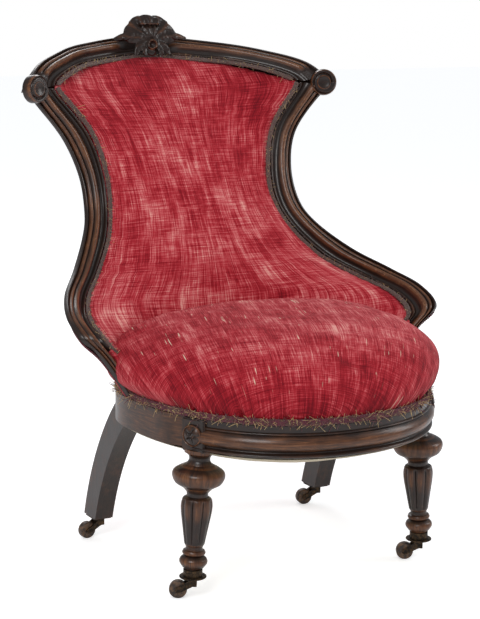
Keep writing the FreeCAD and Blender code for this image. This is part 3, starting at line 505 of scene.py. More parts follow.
whole_side = STILE_STATIONS + ARM_STATIONS[1:]
side_outers, side_inners = edges_of(whole_side)
split = (len(STILE_STATIONS) - 1) * FRAME_STEPS
END_CUT = 3
for side, sign in (("left", 1), ("right", -1)):
    outers, inners = side_outers[END_CUT:], side_inners[END_CUT:]
    if sign < 0:
        outers, inners = mirrored(outers), mirrored(inners)
    if sign < 0:
        outers, inners = list(reversed(outers)), list(reversed(inners))
    ordered_split = split - END_CUT if sign > 0 else len(outers) - 1 - (split - END_CUT)
    first = moulded("stile_moulding_" + side if sign > 0 else "arm_moulding_" + side,
                    outers[:ordered_split + 1], inners[:ordered_split + 1])
    second = moulded("arm_moulding_" + side if sign > 0 else "stile_moulding_" + side,
                     outers[ordered_split:], inners[ordered_split:])
    for piece in (first, second):
        finish_piece(piece, moulding_walnut, "walnut", piece.name.split("_")[0] + "_" + side)

crest_row = [list(s) for s in CREST_STATIONS]
mirror_row = [[-s[0], s[1], s[2], -s[3], s[4], s[5]] for s in reversed(crest_row[:-1])]
crest_outers, crest_inners = edges_of(list(reversed(crest_row + mirror_row)))
CARVING_HALF = 62 * MM
BEAD_END = 56 * MM


def crest_swell(point):
    """The brown ridges stop short of the scrolls and of the carving."""
    from_scroll = (point - Vector(SCROLL_STATION[:3])).length if point.x > 0 else (point - mirrored([SCROLL_STATION[:3]])[0]).length
    return eased(from_scroll, BEAD_END, BEAD_END + 12 * MM) * eased(abs(point.x), CARVING_HALF - 6 * MM, CARVING_HALF + 4 * MM)


crest_piece = moulded("crest_moulding", crest_outers[END_CUT:-END_CUT], crest_inners[END_CUT:-END_CUT],
                      [crest_swell(p) for p in crest_outers[END_CUT:-END_CUT]], CREST_REAR)
finish_piece(crest_piece, moulding_walnut, "walnut", "crest_rail")


# Scrolls: a disc with a spiral groove and a raised, dished button

SCROLL_RADIUS = 26 * MM
SCROLL_THICKNESS = 10 * MM


def round_relief(name, radius, rows, segments, height_of, depth, rub_of):
    """A round carved boss: a grid of rings whose height is a rule of radius and angle, closed behind."""
    rings = []
    rubbed = []
    for row in range(rows + 1):
        share = max(1.0 - row / rows, 0.002)
        ring = []
        for index in range(segments):
            angle = 2 * math.pi * index / segments
            ring.append(Vector((share * radius * math.cos(angle), share * radius * math.sin(angle), height_of(share, angle))))
            rubbed.append(rub_of(share, angle))
        rings.append(ring)
    wall = [Vector((p.x, p.y, -depth)) for p in rings[0]]
    return skin(name, [wall] + rings, values=[0.1] * segments + rubbed)


def stood_on(piece, centre, normal, up=Vector((0, 0, 1))):
    """Moves a piece made in the XY plane so that its +Z looks along normal."""
    normal = normal.normalized()
    across = up.cross(normal).normalized()
    upward = normal.cross(across)
    turn = Matrix((across, upward, normal)).transposed().to_4x4()
    piece.data.transform(Matrix.Translation(centre) @ turn)
    return piece


def scroll_height(turning):
    def height(share, angle):
        turns = (angle * turning / (2 * math.pi)) % 1.0
        groove = 0.60 + 0.34 * turns
        cut = math.exp(-((share - groove) / 0.055) ** 2)
        button = eased(share, 0.56, 0.50) if share > 0.5 else 1.0
        dish = 0.0 if share > 0.42 else (1 - (share / 0.42) ** 2)
        rim = eased(share, 1.0, 0.93) if share > 0.93 else 1.0
        return MM * (6.0 * rim - 2.6 * cut + 1.6 * button - 1.5 * dish)
    return height


def scroll_rub(share, angle):
    edge = math.exp(-((share - 0.50) / 0.04) ** 2) + math.exp(-((share - 0.95) / 0.05) ** 2)
    return 0.12 + 0.75 * edge


scroll_points, _ = moulding_section(side_outers[0], side_inners[0], runs_tangents(side_outers, side_inners)[0])
scroll_across = (side_inners[0] - side_outers[0]).normalized()
scroll_back = scroll_points[-1] - scroll_points[0]
scroll_back = (scroll_back - scroll_across * scroll_back.dot(scroll_across)).normalized()
scroll_centre = side_outers[0] + scroll_across * SCROLL_RADIUS - scroll_back * (SCROLL_THICKNESS * 0.55 - 6 * MM)
for side, sign in (("left", 1), ("right", -1)):
    piece = round_relief("scroll_volute_" + side, SCROLL_RADIUS, 44, 96, scroll_height(sign), 12 * MM, scroll_rub)
    centre = scroll_centre if sign > 0 else mirrored([scroll_centre])[0]
    normal = -scroll_back if sign > 0 else -mirrored([scroll_back])[0]
    finish_piece(stood_on(piece, centre, normal), carving_walnut, "walnut", "scroll_" + side)


# The carved spray over the crest, and the rosettes on the leg blocks


def lump(work, centre, radii, turn_deg=0.0):
    """Adds a rounded lump, turned in the plane of the carving."""
    spin = Matrix.Rotation(math.radians(turn_deg), 4, "Y")
    shape = Matrix.Translation(Vector(centre) * MM) @ spin @ Matrix.Diagonal((*(r * MM for r in radii), 1.0))
    bmesh.ops.create_icosphere(work, subdivisions=3, radius=1.0, matrix=shape)


def petal(work, path, widths, rise, flat=0.55):
    """Adds a leaf along a path of (across, up) points: a row of flattened lumps of changing width."""
    rows = spline([(x, z, w) for (x, z), w in zip(path, widths)], 5)
    for x, z, width in rows:
        lump(work, (x, -rise, z), (width, width * flat, width))


CARVING_LEAN = 0.40
CARVING_GROWTH = [
    # path of (across, up) from the crest's top, widths, how far it stands forward
    ([(10, -8), (26, -2), (42, -6), (58, -2), (76, -6)], [9, 12, 9, 7, 4], 3),
    ([(8, 8), (20, 16), (34, 18), (46, 12), (54, 4)], [10, 11, 9, 7, 4], 4),
    ([(8, -14), (20, -16), (30, -24), (36, -34)], [9, 9, 7, 4], 4),
    ([(4, 22), (14, 30), (26, 30), (38, 24)], [9, 9, 7, 5], 5),
    ([(22, 4), (40, 6), (56, -4)], [8, 8, 5], 7),
    ([(14, -22), (18, -32), (14, -39)], [6, 5, 3], 6),
]
carving_base = Vector(place(0, 259, CREST_TOP))
work = bmesh.new()
for path, widths, rise in CARVING_GROWTH:
    for sign in (1, -1):
        petal(work, [(sign * x, z) for x, z in path], widths, rise)
lump(work, (0, -2, 4), (24, 11, 30))
lump(work, (-3, -9, 30), (20, 7, 11), 6)
lump(work, (13, -10, 27), (11, 7, 9), -20)
lump(work, (-15, -9, 26), (10, 6, 8), 16)
lump(work, (0, 4, -22), (15, 8, 18))
carving_mesh = bpy.data.meshes.new("cresting_spray")
work.to_mesh(carving_mesh)
work.free()
carving = new_object("cresting_spray", carving_mesh)
remesh = carving.modifiers.new("union", "REMESH")
remesh.mode = "VOXEL"
remesh.voxel_size = 1.3 * MM
BOSS_UP = -17.0
BOSS_RADIUS = 9.0


def carved(point):
    """Cuts the veins, the ragged lip of the flower and the ring boss into the smooth lumps, and gives how rubbed it is."""
    x, y, z = point.x / MM, point.y / MM, point.z / MM
    forward = eased(-y, 1.0, 7.0)
    from_boss = math.hypot(x, z - BOSS_UP)
    ring = math.exp(-((from_boss - BOSS_RADIUS) / 2.2) ** 2)
    pit = math.exp(-(from_boss / 4.4) ** 2)
    moat = math.exp(-((from_boss - 14.0) / 1.6) ** 2)
    spread = math.atan2(z - BOSS_UP - 10, abs(x) + 1e-6)
    veins = math.sin(spread * 13.0) * eased(from_boss, 16, 24)
    lip = math.exp(-((z - 19.0 - 1.6 * math.sin(x * 0.75)) / 1.7) ** 2) * eased(26 - abs(x), 0, 8)
    rough = noise.noise(Vector((x, y, z)) * 0.22)
    depth = 4.2 * ring - 5.5 * pit - 2.4 * moat + 1.1 * veins - 4.0 * lip + 0.7 * rough
    rub = 0.10 + 0.55 * ring + 0.35 * max(veins, 0.0) * forward + 0.5 * math.exp(-((z - 23.5) / 1.5) ** 2) * eased(26 - abs(x), 0, 8)
    return Vector((x, y - depth * forward, z)) * MM, rub


carving_mesh = bpy.data.meshes.new_from_object(carving.evaluated_get(bpy.context.evaluated_depsgraph_get()))
bpy.data.objects.remove(carving)
rubs = []
for vertex in carving_mesh.vertices:
    vertex.co, rub = carved(vertex.co)
    vertex.co.y += vertex.co.z * CARVING_LEAN
    vertex.co += carving_base + Vector((0, 15 * MM, 0))
    rubs.append(rub)
add_point_values(carving_mesh, "ridge", rubs)
shaded(carving_mesh, 60.0)
finish_piece(new_object("cresting_spray", carving_mesh), carving_walnut, "walnut", "cresting_carving")


# The seat's plan


def plan(angle_deg, inset=0.0):
    """A point of the seat's outline. 0 is straight ahead, 90 is the sitter's left side, 180 is the back."""
    angle = math.radians(angle_deg)
    across, along = math.sin(angle), math.cos(angle)
    reach = (SEAT_FRONT_REACH if along >= 0 else SEAT_BACK_REACH) - inset
    power = FRONT_POWER if along >= 0 else 2.0
    x = math.copysign(abs(across) ** (2.0 / power), across) * (SEAT_HALF_WIDTH - inset)
    return Vector((x, seat_middle - math.copysign(abs(along) ** (2.0 / power), along) * reach, 0.0))


def plan_outward(angle_deg):
    tangent = plan(angle_deg + 0.5) - plan(angle_deg - 0.5)
    outward = Vector((-tangent.y, tangent.x, 0)).normalized()
    return outward if outward.dot(plan(angle_deg) - Vector((0, seat_middle, 0))) > 0 else -outward


def along_plan(profile, start, end, steps):
    """Rings of a profile of (outward, height) points in metres that follows the seat's outline."""
    rings = []
    for step in range(steps + 1):
        angle = start + (end - start) * step / steps
        spot, outward = plan(angle), plan_outward(angle)
        rings.append([spot + outward * out + Vector((0, 0, height)) for out, height in profile])
    return rings


LEG_SPREAD = 236 * MM
leg_angle = min((abs(plan(a / 20).x - LEG_SPREAD), a / 20) for a in range(100, 1700))[1]
BLOCK_SIDE = 46 * MM
RAIL_MOULDING = 9 * MM
leg_outward = plan_outward(leg_angle)
leg_centre = plan(leg_angle) - leg_outward * (BLOCK_SIDE / 2 - RAIL_MOULDING / 2)
block_base = rail_bottom - 3 * MM


# Front rail: fascia, bead, broad round and foot bead

RAIL_STRETCHES = [
    # out and height of the start and of the end in mm, how far it swells out, how rubbed its crown is
    (-1, 54, -1, 43, 0.0, 0.05),
    (-1, 43, 0, 38, 3.0, 0.35),
    (0, 38, 0, 10, 9.0, 0.75),
    (0, 10, 2, 7, -1.0, 0.0),
    (2, 7, 2, 0, 4.0, 0.40),
]
rail_profile = []
rail_rub = []
for out_a, up_a, out_b, up_b, rise, rub in RAIL_STRETCHES:
    for step in range(STRETCH_STEPS):
        t = step / STRETCH_STEPS
        arch = math.sin(math.pi * t) ** 0.8
        rail_profile.append(((out_a + (out_b - out_a) * t + rise * arch) * MM, rail_bottom + (up_a + (up_b - up_a) * t) * MM))
        rail_rub.append(rub * (0.3 + 0.7 * arch))
rail_profile += [(-30 * MM, rail_bottom), (-30 * MM, rail_top)]
rail_rub += [0.1, 0.1]
RAIL_STEPS = 60
front_rail = skin("front_rail_moulding", along_plan(rail_profile, -leg_angle, leg_angle, RAIL_STEPS),
                  values=rail_rub * (RAIL_STEPS + 1))
finish_piece(front_rail, turned_walnut, "walnut", "front_seat_rail")


# Front legs: a leaning turning with carved lobes, on an upright foot

LEG_TURNING = [
    # smooth stretches of (radius, height above the caster's top) in mm, with a sharp edge between two stretches
    [(15.5, 13), (18, 16)],
    [(19, 16), (24, 24), (22.5, 31), (15, 37)],
    [(18.5, 38), (20, 41), (18.5, 45)],
    [(15, 46), (14.5, 51), (17, 56)],
    [(17.5, 57), (22.5, 88), (26, 110), (27, 124), (25, 135), (20, 139)],
    [(18, 140), (19, 147), (26, 155)],
    [(31, 158), (40, 164), (45, 175), (43, 184), (33, 191)],
    [(29, 192), (25, 195)],
    [(22, 196), (18, 203), (19, 210), (24, 215)],
    [(26.5, 216), (26.5, 222)],
]
LEG_LOBES = 8
LOBE_LOW, LOBE_HIGH = 56.0, 138.0
LEG_SEGMENTS = 96
FOOT_RISE = 13 * MM
SPLAY = math.radians(3.2)
leg_scale = (block_base - caster_top) / (221 * MM)


def leg_rings():
    rings = []
    rubbed = []
    for stretch in LEG_TURNING:
        crown = max(radius for radius, _ in stretch)
        for radius, height in spline(stretch, 7):
            ring = []
            lobed = eased(height, LOBE_LOW, LOBE_LOW + 5) * eased(LOBE_HIGH - height, 0, 7)
            for index in range(LEG_SEGMENTS):
                angle = 2 * math.pi * index / LEG_SEGMENTS
                lobe = abs(math.sin(angle * LEG_LOBES / 2)) ** 0.55
                r = radius * MM * (1 - 0.15 * lobed * (1 - lobe))
                ring.append(Vector((r * math.cos(angle), r * math.sin(angle), caster_top + height * MM * leg_scale)))
                rubbed.append(0.15 + 0.55 * (radius / crown) ** 6 * (1 - lobed * (1 - lobe)))
            rings.append(ring)
    return rings, rubbed


foot_out = (block_base - caster_top - FOOT_RISE) * math.sin(SPLAY)
PIN_HOLE = 3.5 * MM
block_turn = math.atan2(leg_outward.y, leg_outward.x)


def front_leg(side, sign):
    """The whole leg as one piece: foot, turning and block."""
    rings, rubbed = leg_rings()
    lean = Matrix.Translation((0, 0, block_base)) @ Matrix.Rotation(-SPLAY, 4, "Y") @ Matrix.Translation((0, 0, -block_base))
    rings = [[lean @ p for p in ring] for ring in rings]
    turning = skin("turning", rings, values=rubbed)
    foot = []
    for radius, height in ((PIN_HOLE, 0), (14 * MM, 0), (14 * MM, 18 * MM), (PIN_HOLE, 18 * MM)):
        foot.append([Vector((foot_out + radius * math.cos(a), radius * math.sin(a), caster_top + height))
                     for a in (2 * math.pi * i / 48 for i in range(48))])
    foot = skin("foot", foot + foot[:1], capped=False)
    block = bpy.data.meshes.new("block")
    work = bmesh.new()
    half = BLOCK_SIDE / 2
    high = rail_top - block_base
    shape = Matrix.Translation((0, 0, block_base + high / 2)) @ Matrix.Rotation(block_turn, 4, "Z") @ Matrix.Diagonal((2 * half, 2 * half, high, 1))
    bmesh.ops.create_cube(work, size=1.0, matrix=shape)
    bmesh.ops.bevel(work, geom=work.edges[:], offset=2.2 * MM, segments=3, affect="EDGES")
    work.to_mesh(block)
    work.free()
    shaded(block)
    add_point_vectors(block, "run", [(v.co.z, math.atan2(v.co.y, v.co.x) * half, 0) for v in block.vertices])
    add_point_values(block, "ridge", [0.25] * len(block.vertices))
    block = new_object("block", block)
    joined(turning, [foot, block], "turned_leg_" + side)
    turning.data.transform(Matrix.Translation(leg_centre))
    if sign < 0:
        turning.data.transform(Matrix.Diagonal((-1, 1, 1, 1)))
        turning.data.flip_normals()
    return turning


def joined(main, others, name):
    """Joins other pieces to the main one."""
    with bpy.context.temp_override(active_object=main, selected_editable_objects=[main] + others):
        bpy.ops.object.join()
    main.name = main.data.name = name
    return main


for side, sign in (("left", 1), ("right", -1)):
    finish_piece(front_leg(side, sign), turned_walnut, "walnut", "front_leg_" + side)

ROSETTE_RADIUS = 19 * MM


def rosette_height(share, angle):
    petals = abs(math.sin(angle * 2.5)) ** 0.5
    ring = math.exp(-((share - 0.92) / 0.07) ** 2)
    flower = eased(share, 0.86, 0.78) * eased(share, 0.18, 0.34) if share < 0.86 else 0.0
    bowl = math.sin(math.pi * min(share / 0.8, 1.0))
    boss = math.exp(-(share / 0.20) ** 2)
    return MM * (2.0 + 2.4 * ring + flower * (1.5 + 3.2 * bowl * petals) + 5.0 * boss - 2.4 * math.exp(-(share / 0.07) ** 2))


def rosette_rub(share, angle):
    return 0.15 + 0.5 * math.exp(-((share - 0.92) / 0.06) ** 2) + 0.35 * abs(math.sin(angle * 2.5)) * eased(share, 0.3, 0.5)


rosette_centre = leg_centre + leg_outward * (BLOCK_SIDE / 2) + Vector((0, 0, (block_base + rail_top) / 2))
for side, sign in (("left", 1), ("right", -1)):
    piece = round_relief("rosette_flower_" + side, ROSETTE_RADIUS, 40, 100, rosette_height, 0.0, rosette_rub)
    centre = rosette_centre if sign > 0 else mirrored([rosette_centre])[0]
    normal = leg_outward if sign > 0 else mirrored([leg_outward])[0]
    finish_piece(stood_on(piece, centre, normal), carving_walnut, "walnut", "rosette_" + side)


# Upholstery: the stuffed pieces, puffed out as cloth under pressure


def plain_copy(source):
    """A construction solid's mesh with its loose triangles joined."""
    mesh = nodes[source].data.copy()
    outwards(mesh)
    return mesh


def evaluated(piece):
    """The mesh with its modifiers applied."""
    bpy.context.view_layer.update()
    mesh = bpy.data.meshes.new_from_object(piece.evaluated_get(bpy.context.evaluated_depsgraph_get()))
    piece.modifiers.clear()
    piece.data = mesh
    return mesh


def corners_of(mesh):
    flat = np.zeros(len(mesh.vertices) * 3, np.float32)
    mesh.vertices.foreach_get("co", flat)
    return flat.reshape(-1, 3).astype(float)


def set_corners(mesh, corners):
    mesh.vertices.foreach_set("co", corners.astype(np.float32).ravel())
    mesh.update()


def evenly_meshed(name, source, voxel, rounding):
    """A closed copy of a solid in even quads, with its edges rounded by smoothing."""
    piece = new_object(name, plain_copy(source))
    remesh = piece.modifiers.new("even", "REMESH")
    remesh.mode = "VOXEL"
    remesh.voxel_size = voxel
    smooth = piece.modifiers.new("rounded", "SMOOTH")
    smooth.factor = 0.5
    smooth.iterations = rounding
    evaluated(piece)
    return piece


CLOTH_FRAMES = 16


def puffed(piece, pressure, cap, held):
    """Lets the cover swell under pressure where it isn't held, and no further than cap."""
    mesh = piece.data
    before = corners_of(mesh)
    group = piece.vertex_groups.new(name="held")
    group.add([int(i) for i in np.nonzero(held(before))[0]], 1.0, "REPLACE")
    cloth = piece.modifiers.new("cover", "CLOTH")
    cloth.settings.vertex_group_mass = "held"
    cloth.settings.use_pressure = True
    cloth.settings.uniform_pressure_force = pressure
    cloth.settings.effector_weights.gravity = 0.0
    cloth.settings.tension_stiffness = 8.0
    cloth.settings.compression_stiffness = 8.0
    cloth.settings.bending_stiffness = 0.4
    cloth.collision_settings.use_collision = False
    cloth.collision_settings.use_self_collision = False
    for step in range(1, CLOTH_FRAMES + 1):
        scene.frame_set(step)
    evaluated(piece)
    move = corners_of(piece.data) - before
    far = np.linalg.norm(move, axis=1, keepdims=True)
    set_corners(piece.data, before + move * np.minimum(1.0, cap / np.maximum(far, 1e-9)))
    piece.vertex_groups.clear()
    scene.frame_set(1)


def subdivided(piece):
    """One round of subdivision, with the caps cut into triangles first."""
    work = bmesh.new()
    work.from_mesh(piece.data)
    bmesh.ops.triangulate(work, faces=[face for face in work.faces if len(face.verts) > 4])
    work.to_mesh(piece.data)
    work.free()
    finer = piece.modifiers.new("finer", "SUBSURF")
    finer.levels = finer.render_levels = 1
    evaluated(piece)
    piece.data.shade_smooth()


def weave_on(piece, rule):
    """Stores where each vertex lies on the cloth, for the velvet's streaks."""
    add_point_vectors(piece.data, "weave", [rule(Vector(c)) for c in corners_of(piece.data)])


# The seat: taut over its springs, pleated where the cover is drawn round the front corners

SEAT_PLEATS = [
    # plan angle, half width, height reached above the rail, depth, all lengths in mm
    (-62.0, 4.5, 46.0, 9.0), (-50.0, 4.0, 34.0, 6.0), (-43.0, 4.5, 52.0, 9.0), (-27.0, 4.5, 42.0, 8.0),
    (-10.0, 4.0, 28.0, 4.0), (11.0, 4.0, 30.0, 4.0), (33.0, 4.5, 38.0, 6.0), (49.0, 4.0, 42.0, 7.0), (66.0, 4.5, 38.0, 6.0),
]
seat_height = cushion_high.z - rail_top


def seat_shaped(corners):
    """Ripples over the top and pleats above the braid."""
    made = corners.copy()
    for index, (x, y, z) in enumerate(corners):
        out = Vector((x, y - seat_centre_y, 0))
        angle = math.degrees(math.atan2(x, -(y - seat_centre_y)))
        up = (z - rail_top) / MM
        reach = max(out.length, 1e-4)
        outward = out / reach
        depth = 0.0
        for spot, half, high, deep in SEAT_PLEATS:
            offset = math.radians(angle - spot) * reach / MM + 0.22 * (up - high * 0.4)
            fade = eased(high - up, 0, high * 0.7) * eased(up, 2, 10)
            depth += deep * fade * (math.exp(-(offset / half) ** 2) - 0.45 * math.exp(-((offset - 1.7 * half) / half) ** 2))
        top = eased(z, rail_top + seat_height * 0.6, rail_top + seat_height)
        ripple = noise.noise(Vector((x * 9.0, y * 30.0, 1.7))) * 1.6 + noise.noise(Vector((x * 16.0, y * 14.0, 4.2))) * 1.8
        swell = noise.noise(Vector((x * 7.0, y * 7.0, z * 9.0))) * 2.2
        made[index] += np.array(outward * (-depth + swell * (1 - top)) * MM) + np.array((0, 0, (ripple * top + swell * top * 0.5) * MM))
    return made


WEAVE_LEAN = 0.35


def seat_weave(point):
    """The cover's own flat coordinates: over the top it is as seen from above, and round the sides it hangs down."""
    out = Vector((point.x, point.y - seat_centre_y, 0))
    drop = max(0.0, cushion_high.z - point.z)
    outward = out.normalized() if out.length > 1e-6 else out
    u = point.x + outward.x * drop
    v = point.y + outward.y * drop
    lean_cos, lean_sin = math.cos(WEAVE_LEAN), math.sin(WEAVE_LEAN)
    return (u * lean_cos - v * lean_sin, u * lean_sin + v * lean_cos, 0.0)


SEAT_CROWN = seat_height / MM
SEAT_BULGE = 12.0
SEAT_PROFILE = [
    # height above the rail in mm, inset in mm, share of the plan
    (0, 5, 1), (13, 4, 1), (0.22 * SEAT_CROWN, -0.6 * SEAT_BULGE, 1), (0.38 * SEAT_CROWN, -SEAT_BULGE, 1),
    (0.54 * SEAT_CROWN, -0.7 * SEAT_BULGE, 1), (0.70 * SEAT_CROWN, 0.5 * SEAT_BULGE, 1), (0.84 * SEAT_CROWN, 0, 0.87),
    (0.918 * SEAT_CROWN, 0, 0.68), (0.973 * SEAT_CROWN, 0, 0.44), (0.997 * SEAT_CROWN, 0, 0.2), (SEAT_CROWN, 0, 0.02),
]
SEAT_AROUND = 220


def seat_rings():
    """The stuffed seat: fuller where it presses over the feet of the arms, and drawn in where the back covers it."""
    rings = []
    for up, inset, share in spline(SEAT_PROFILE, 5):
        ring = []
        for index in range(SEAT_AROUND):
            angle = 360 * index / SEAT_AROUND
            side = min(angle, 360 - angle)
            press = 15 * math.exp(-((side - 84) / 24) ** 2) * eased(up, 10, 34) * eased(up, 104, 70)
            spot = plan(angle, (inset - press + 26 * eased(side, 102, 128)) * MM)
            ring.append(Vector((spot.x * share, seat_centre_y + (spot.y - seat_centre_y) * share, rail_top + up * MM)))
        rings.append(ring)
    return rings


seat = skin("seat_cushion_velvet", seat_rings())
seat_front = cushion_low.y + 6 * MM
puffed(seat, 3.0, 7 * MM, lambda c: (c[:, 2] < rail_top + 12 * MM) | (c[:, 1] < seat_front))
subdivided(seat)
set_corners(seat.data, seat_shaped(corners_of(seat.data)))
weave_on(seat, seat_weave)
finish_piece(seat, seat_velvet, "velvet", "seat_cushion")


# The inside back and arms

BACK_VOXEL = 7 * MM


def half_width_at(height):
    """Half the width of the inside back at a height, from the moulding's inner edge."""
    inner = min(side_inners, key=lambda p: abs(p.z - height))
    return inner.x


HALF_WIDTHS = [half_width_at(rail_top + step * 5 * MM) for step in range(125)]


def back_weave(point):
    step = (point.z - rail_top) / (5 * MM)
    index = int(max(0, min(len(HALF_WIDTHS) - 2, math.floor(step))))
    share = max(0.0, min(1.0, step - index))
    half = HALF_WIDTHS[index] * (1 - share) + HALF_WIDTHS[index + 1] * share
    return (point.x / half * 0.235, point.z + 0.35 * (point.y - back_y), 0.0)


back = evenly_meshed("back_pad_velvet", "back_pad", BACK_VOXEL, 3)
pad_edge = np.array([(*p,) for p in side_inners + mirrored(side_inners) + crest_inners])


def near_edge(corners):
    """True near the moulding, where the cover is tacked down."""
    spread = np.linalg.norm(corners[:, None, :] - pad_edge[None, ::3, :], axis=2)
    return np.min(spread, axis=1) < 20 * MM


puffed(back, 2.0, 5 * MM, near_edge)
subdivided(back)
weave_on(back, back_weave)
finish_piece(back, back_velvet, "velvet", "back_pad")


# The cloth over the outside back: a sheet stretched across the backs of the show-wood

PAD_MIDDLE = [(-33, 2), (-29, 62), (-21, 106), (-9, 140), (5, 172), (23, 208), (47, 256), (81, 312), (123, 376), (169, 440),
              (236, CREST_TOP - 80), (289, CREST_TOP - 26)]
COVER_BEHIND = 42.0
COVER_ACROSS = 56
COVER_THICKNESS = 2 * MM


def circle_points(start, middle, end, count):
    """Points of the arc through three points."""
    a, b = middle - start, end - start
    normal = a.cross(b)
    centre = start + (normal.cross(a) * b.length_squared + b.cross(normal) * a.length_squared) / (2 * normal.length_squared)
    spoke = start - centre
    axis = normal.normalized()
    sweep = spoke.angle(end - centre)
    if (middle - centre).dot((start + end) / 2 - centre) < 0:
        sweep = 2 * math.pi - sweep
    return [centre + Matrix.Rotation(sweep * i / count, 3, axis) @ spoke for i in range(count + 1)]


def outside_rings():
    """Rows of the outside back, from the rail to the crest."""
    stations = list(reversed(whole_side))
    rows = []
    for index, (dy, dz) in enumerate(PAD_MIDDLE):
        outer, inner = Vector(stations[index][:3]), Vector(stations[index][3:])
        before, after = stations[max(index - 1, 0)], stations[min(index + 1, len(stations) - 1)]
        tangent = (Vector(before[:3]) + Vector(before[3:]) - Vector(after[:3]) - Vector(after[3:])).normalized()
        across = inner - outer
        backward = tangent.cross(across).normalized()
        low = eased(index, 4.0, 1.5)
        edge = outer + across * (0.45 - 0.39 * low) + backward * ((18 - 6 * low) * MM)
        below, above = PAD_MIDDLE[max(index - 1, 0)], PAD_MIDDLE[min(index + 1, len(PAD_MIDDLE) - 1)]
        lean = Vector((0, above[1] - below[1], -(above[0] - below[0]))).normalized()
        middle = Vector(place(0, dy, dz)) + lean * (COVER_BEHIND * MM)
        rows.append([*edge, *middle])
    rows[0][2] = rows[0][5] = rail_top + 1 * MM
    rings = []
    for row in spline(rows, 6):
        edge, middle = Vector(row[:3]), Vector(row[3:])
        rings.append(circle_points(edge, middle, mirrored([edge])[0], COVER_ACROSS))
    crest_back = []
    for outer, inner, tangent in zip(crest_outers, crest_inners, runs_tangents(crest_outers, crest_inners)):
        across = inner - outer
        crest_back.append(outer + across * 0.45 + tangent.cross(across).normalized() * 31 * MM)
    if crest_back[0].x < 0:
        crest_back.reverse()
    places = np.linspace(0, len(crest_back) - 1, COVER_ACROSS + 1)
    columns = [np.interp(places, range(len(crest_back)), column) for column in np.array([tuple(p) for p in crest_back]).T]
    top = [Vector(p) for p in zip(*columns)]
    return rings[:-1] + [[(a + b) / 2 for a, b in zip(rings[-2], top)], top]


def sheet_area(mesh):
    return sum(face.area for face in mesh.polygons)


cover_rings = outside_rings()
cover = skin("outside_back_velvet", cover_rings, closed=False, capped=False)
cover.data.attributes.remove(cover.data.attributes["run"])
if cover.data.polygons[COVER_ACROSS // 2].normal.y < 0:
    cover.data.flip_normals()
solid = cover.modifiers.new("cloth", "SOLIDIFY")
solid.thickness = COVER_THICKNESS
solid.offset = 1.0
evaluated(cover)
cover.data.shade_smooth()
weave_on(cover, back_weave)
finish_piece(cover, outside_velvet, "velvet_back", "outside_back_cover")


# Under the seat: the sagging bottom cloth, webbing and spring cover


def disc_sheet(name, rings, thickness):
    """A closed sheet through rings that shrink to the middle."""
    mesh = skin(name, rings, capped=False).data
    piece = bpy.data.objects[name]
    area = sheet_area(mesh)
    solid = piece.modifiers.new("cloth", "SOLIDIFY")
    solid.thickness = thickness
    solid.offset = 0.0
    evaluated(piece)
    piece.data.shade_smooth()
    return piece, area


CLOTH_SAG = 44 * MM
CLOTH_ROWS = 26


def sagging_rings():
    rings = []
    for row in range(CLOTH_ROWS + 1):
        share = 1 - row / CLOTH_ROWS * 0.985
        sag = CLOTH_SAG * (1 - share ** 2.4)
        ring = []
        for index in range(96):
            spot = plan(360 * index / 96, 9 * MM)
            x, y = spot.x * share, seat_centre_y + (spot.y - seat_centre_y) * share
            wrinkle = noise.noise(Vector((x * 30, y * 30, 0.5))) * 1.6 * MM * (1 - share ** 6)
            ring.append(Vector((x, y, rail_bottom - 5 * MM - sag + wrinkle)))
        rings.append(ring)
    return rings


bottom_rings = sagging_rings()
bottom, bottom_area = disc_sheet("bottom_cloth_sheet", bottom_rings, 1.4 * MM)
finish_piece(bottom, calico, "under_cloth", "bottom_cloth")

hessian_low, hessian_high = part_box("seat_hessian")
HESSIAN_INSET = 32 * MM
hessian_rim = [plan(360 * index / 64, HESSIAN_INSET) for index in range(64)]
hessian_level = (hessian_low.z + hessian_high.z) / 2
hessian_rings = []
for share in (1.0, 0.75, 0.5, 0.25, 0.02):
    hessian_rings.append([Vector((spot.x * share, seat_centre_y + (spot.y - seat_centre_y) * share, hessian_level))
                          for spot in hessian_rim])
hessian, hessian_area = disc_sheet("seat_hessian_sheet", hessian_rings, 1.0 * MM)
finish_piece(hessian, hessian_cloth, "hessian", "seat_hessian")


def webbing_straps():
    """The construction straps with their edges eased."""
    piece = new_object("seat_webbing_straps", plain_copy("seat_webbing"))
    bevel = piece.modifiers.new("soft edge", "BEVEL")
    bevel.width = 0.6 * MM
    bevel.segments = 2
    bevel.limit_method = "ANGLE"
    evaluated(piece)
    return piece


finish_piece(webbing_straps(), webbing_cloth, "webbing", "seat_webbing")


# Braid, frayed threads and beads, by node trees


def new_tree(name, numbers):
    """A node tree that takes a geometry, numbers and a finish."""
    tree = bpy.data.node_groups.new(name, "GeometryNodeTree")
    tree.interface.new_socket("Geometry", in_out="INPUT", socket_type="NodeSocketGeometry")
    for label in numbers:
        tree.interface.new_socket(label, in_out="INPUT", socket_type="NodeSocketFloat")
    tree.interface.new_socket("Finish", in_out="INPUT", socket_type="NodeSocketMaterial")
    tree.interface.new_socket("Geometry", in_out="OUTPUT", socket_type="NodeSocketGeometry")
    return tree, node(tree, "NodeGroupInput").outputs


def ended(tree, given, shape):
    smooth = node(tree, "GeometryNodeSetShadeSmooth", {"Geometry": shape})
    whole = node(tree, "GeometryNodeRealizeInstances", {"Geometry": smooth.outputs[0]})
    final = node(tree, "GeometryNodeSetMaterial", {"Geometry": whole.outputs[0], "Material": given["Finish"]})
    tree.links.new(final.outputs[0], node(tree, "NodeGroupOutput").inputs[0])
    return tree


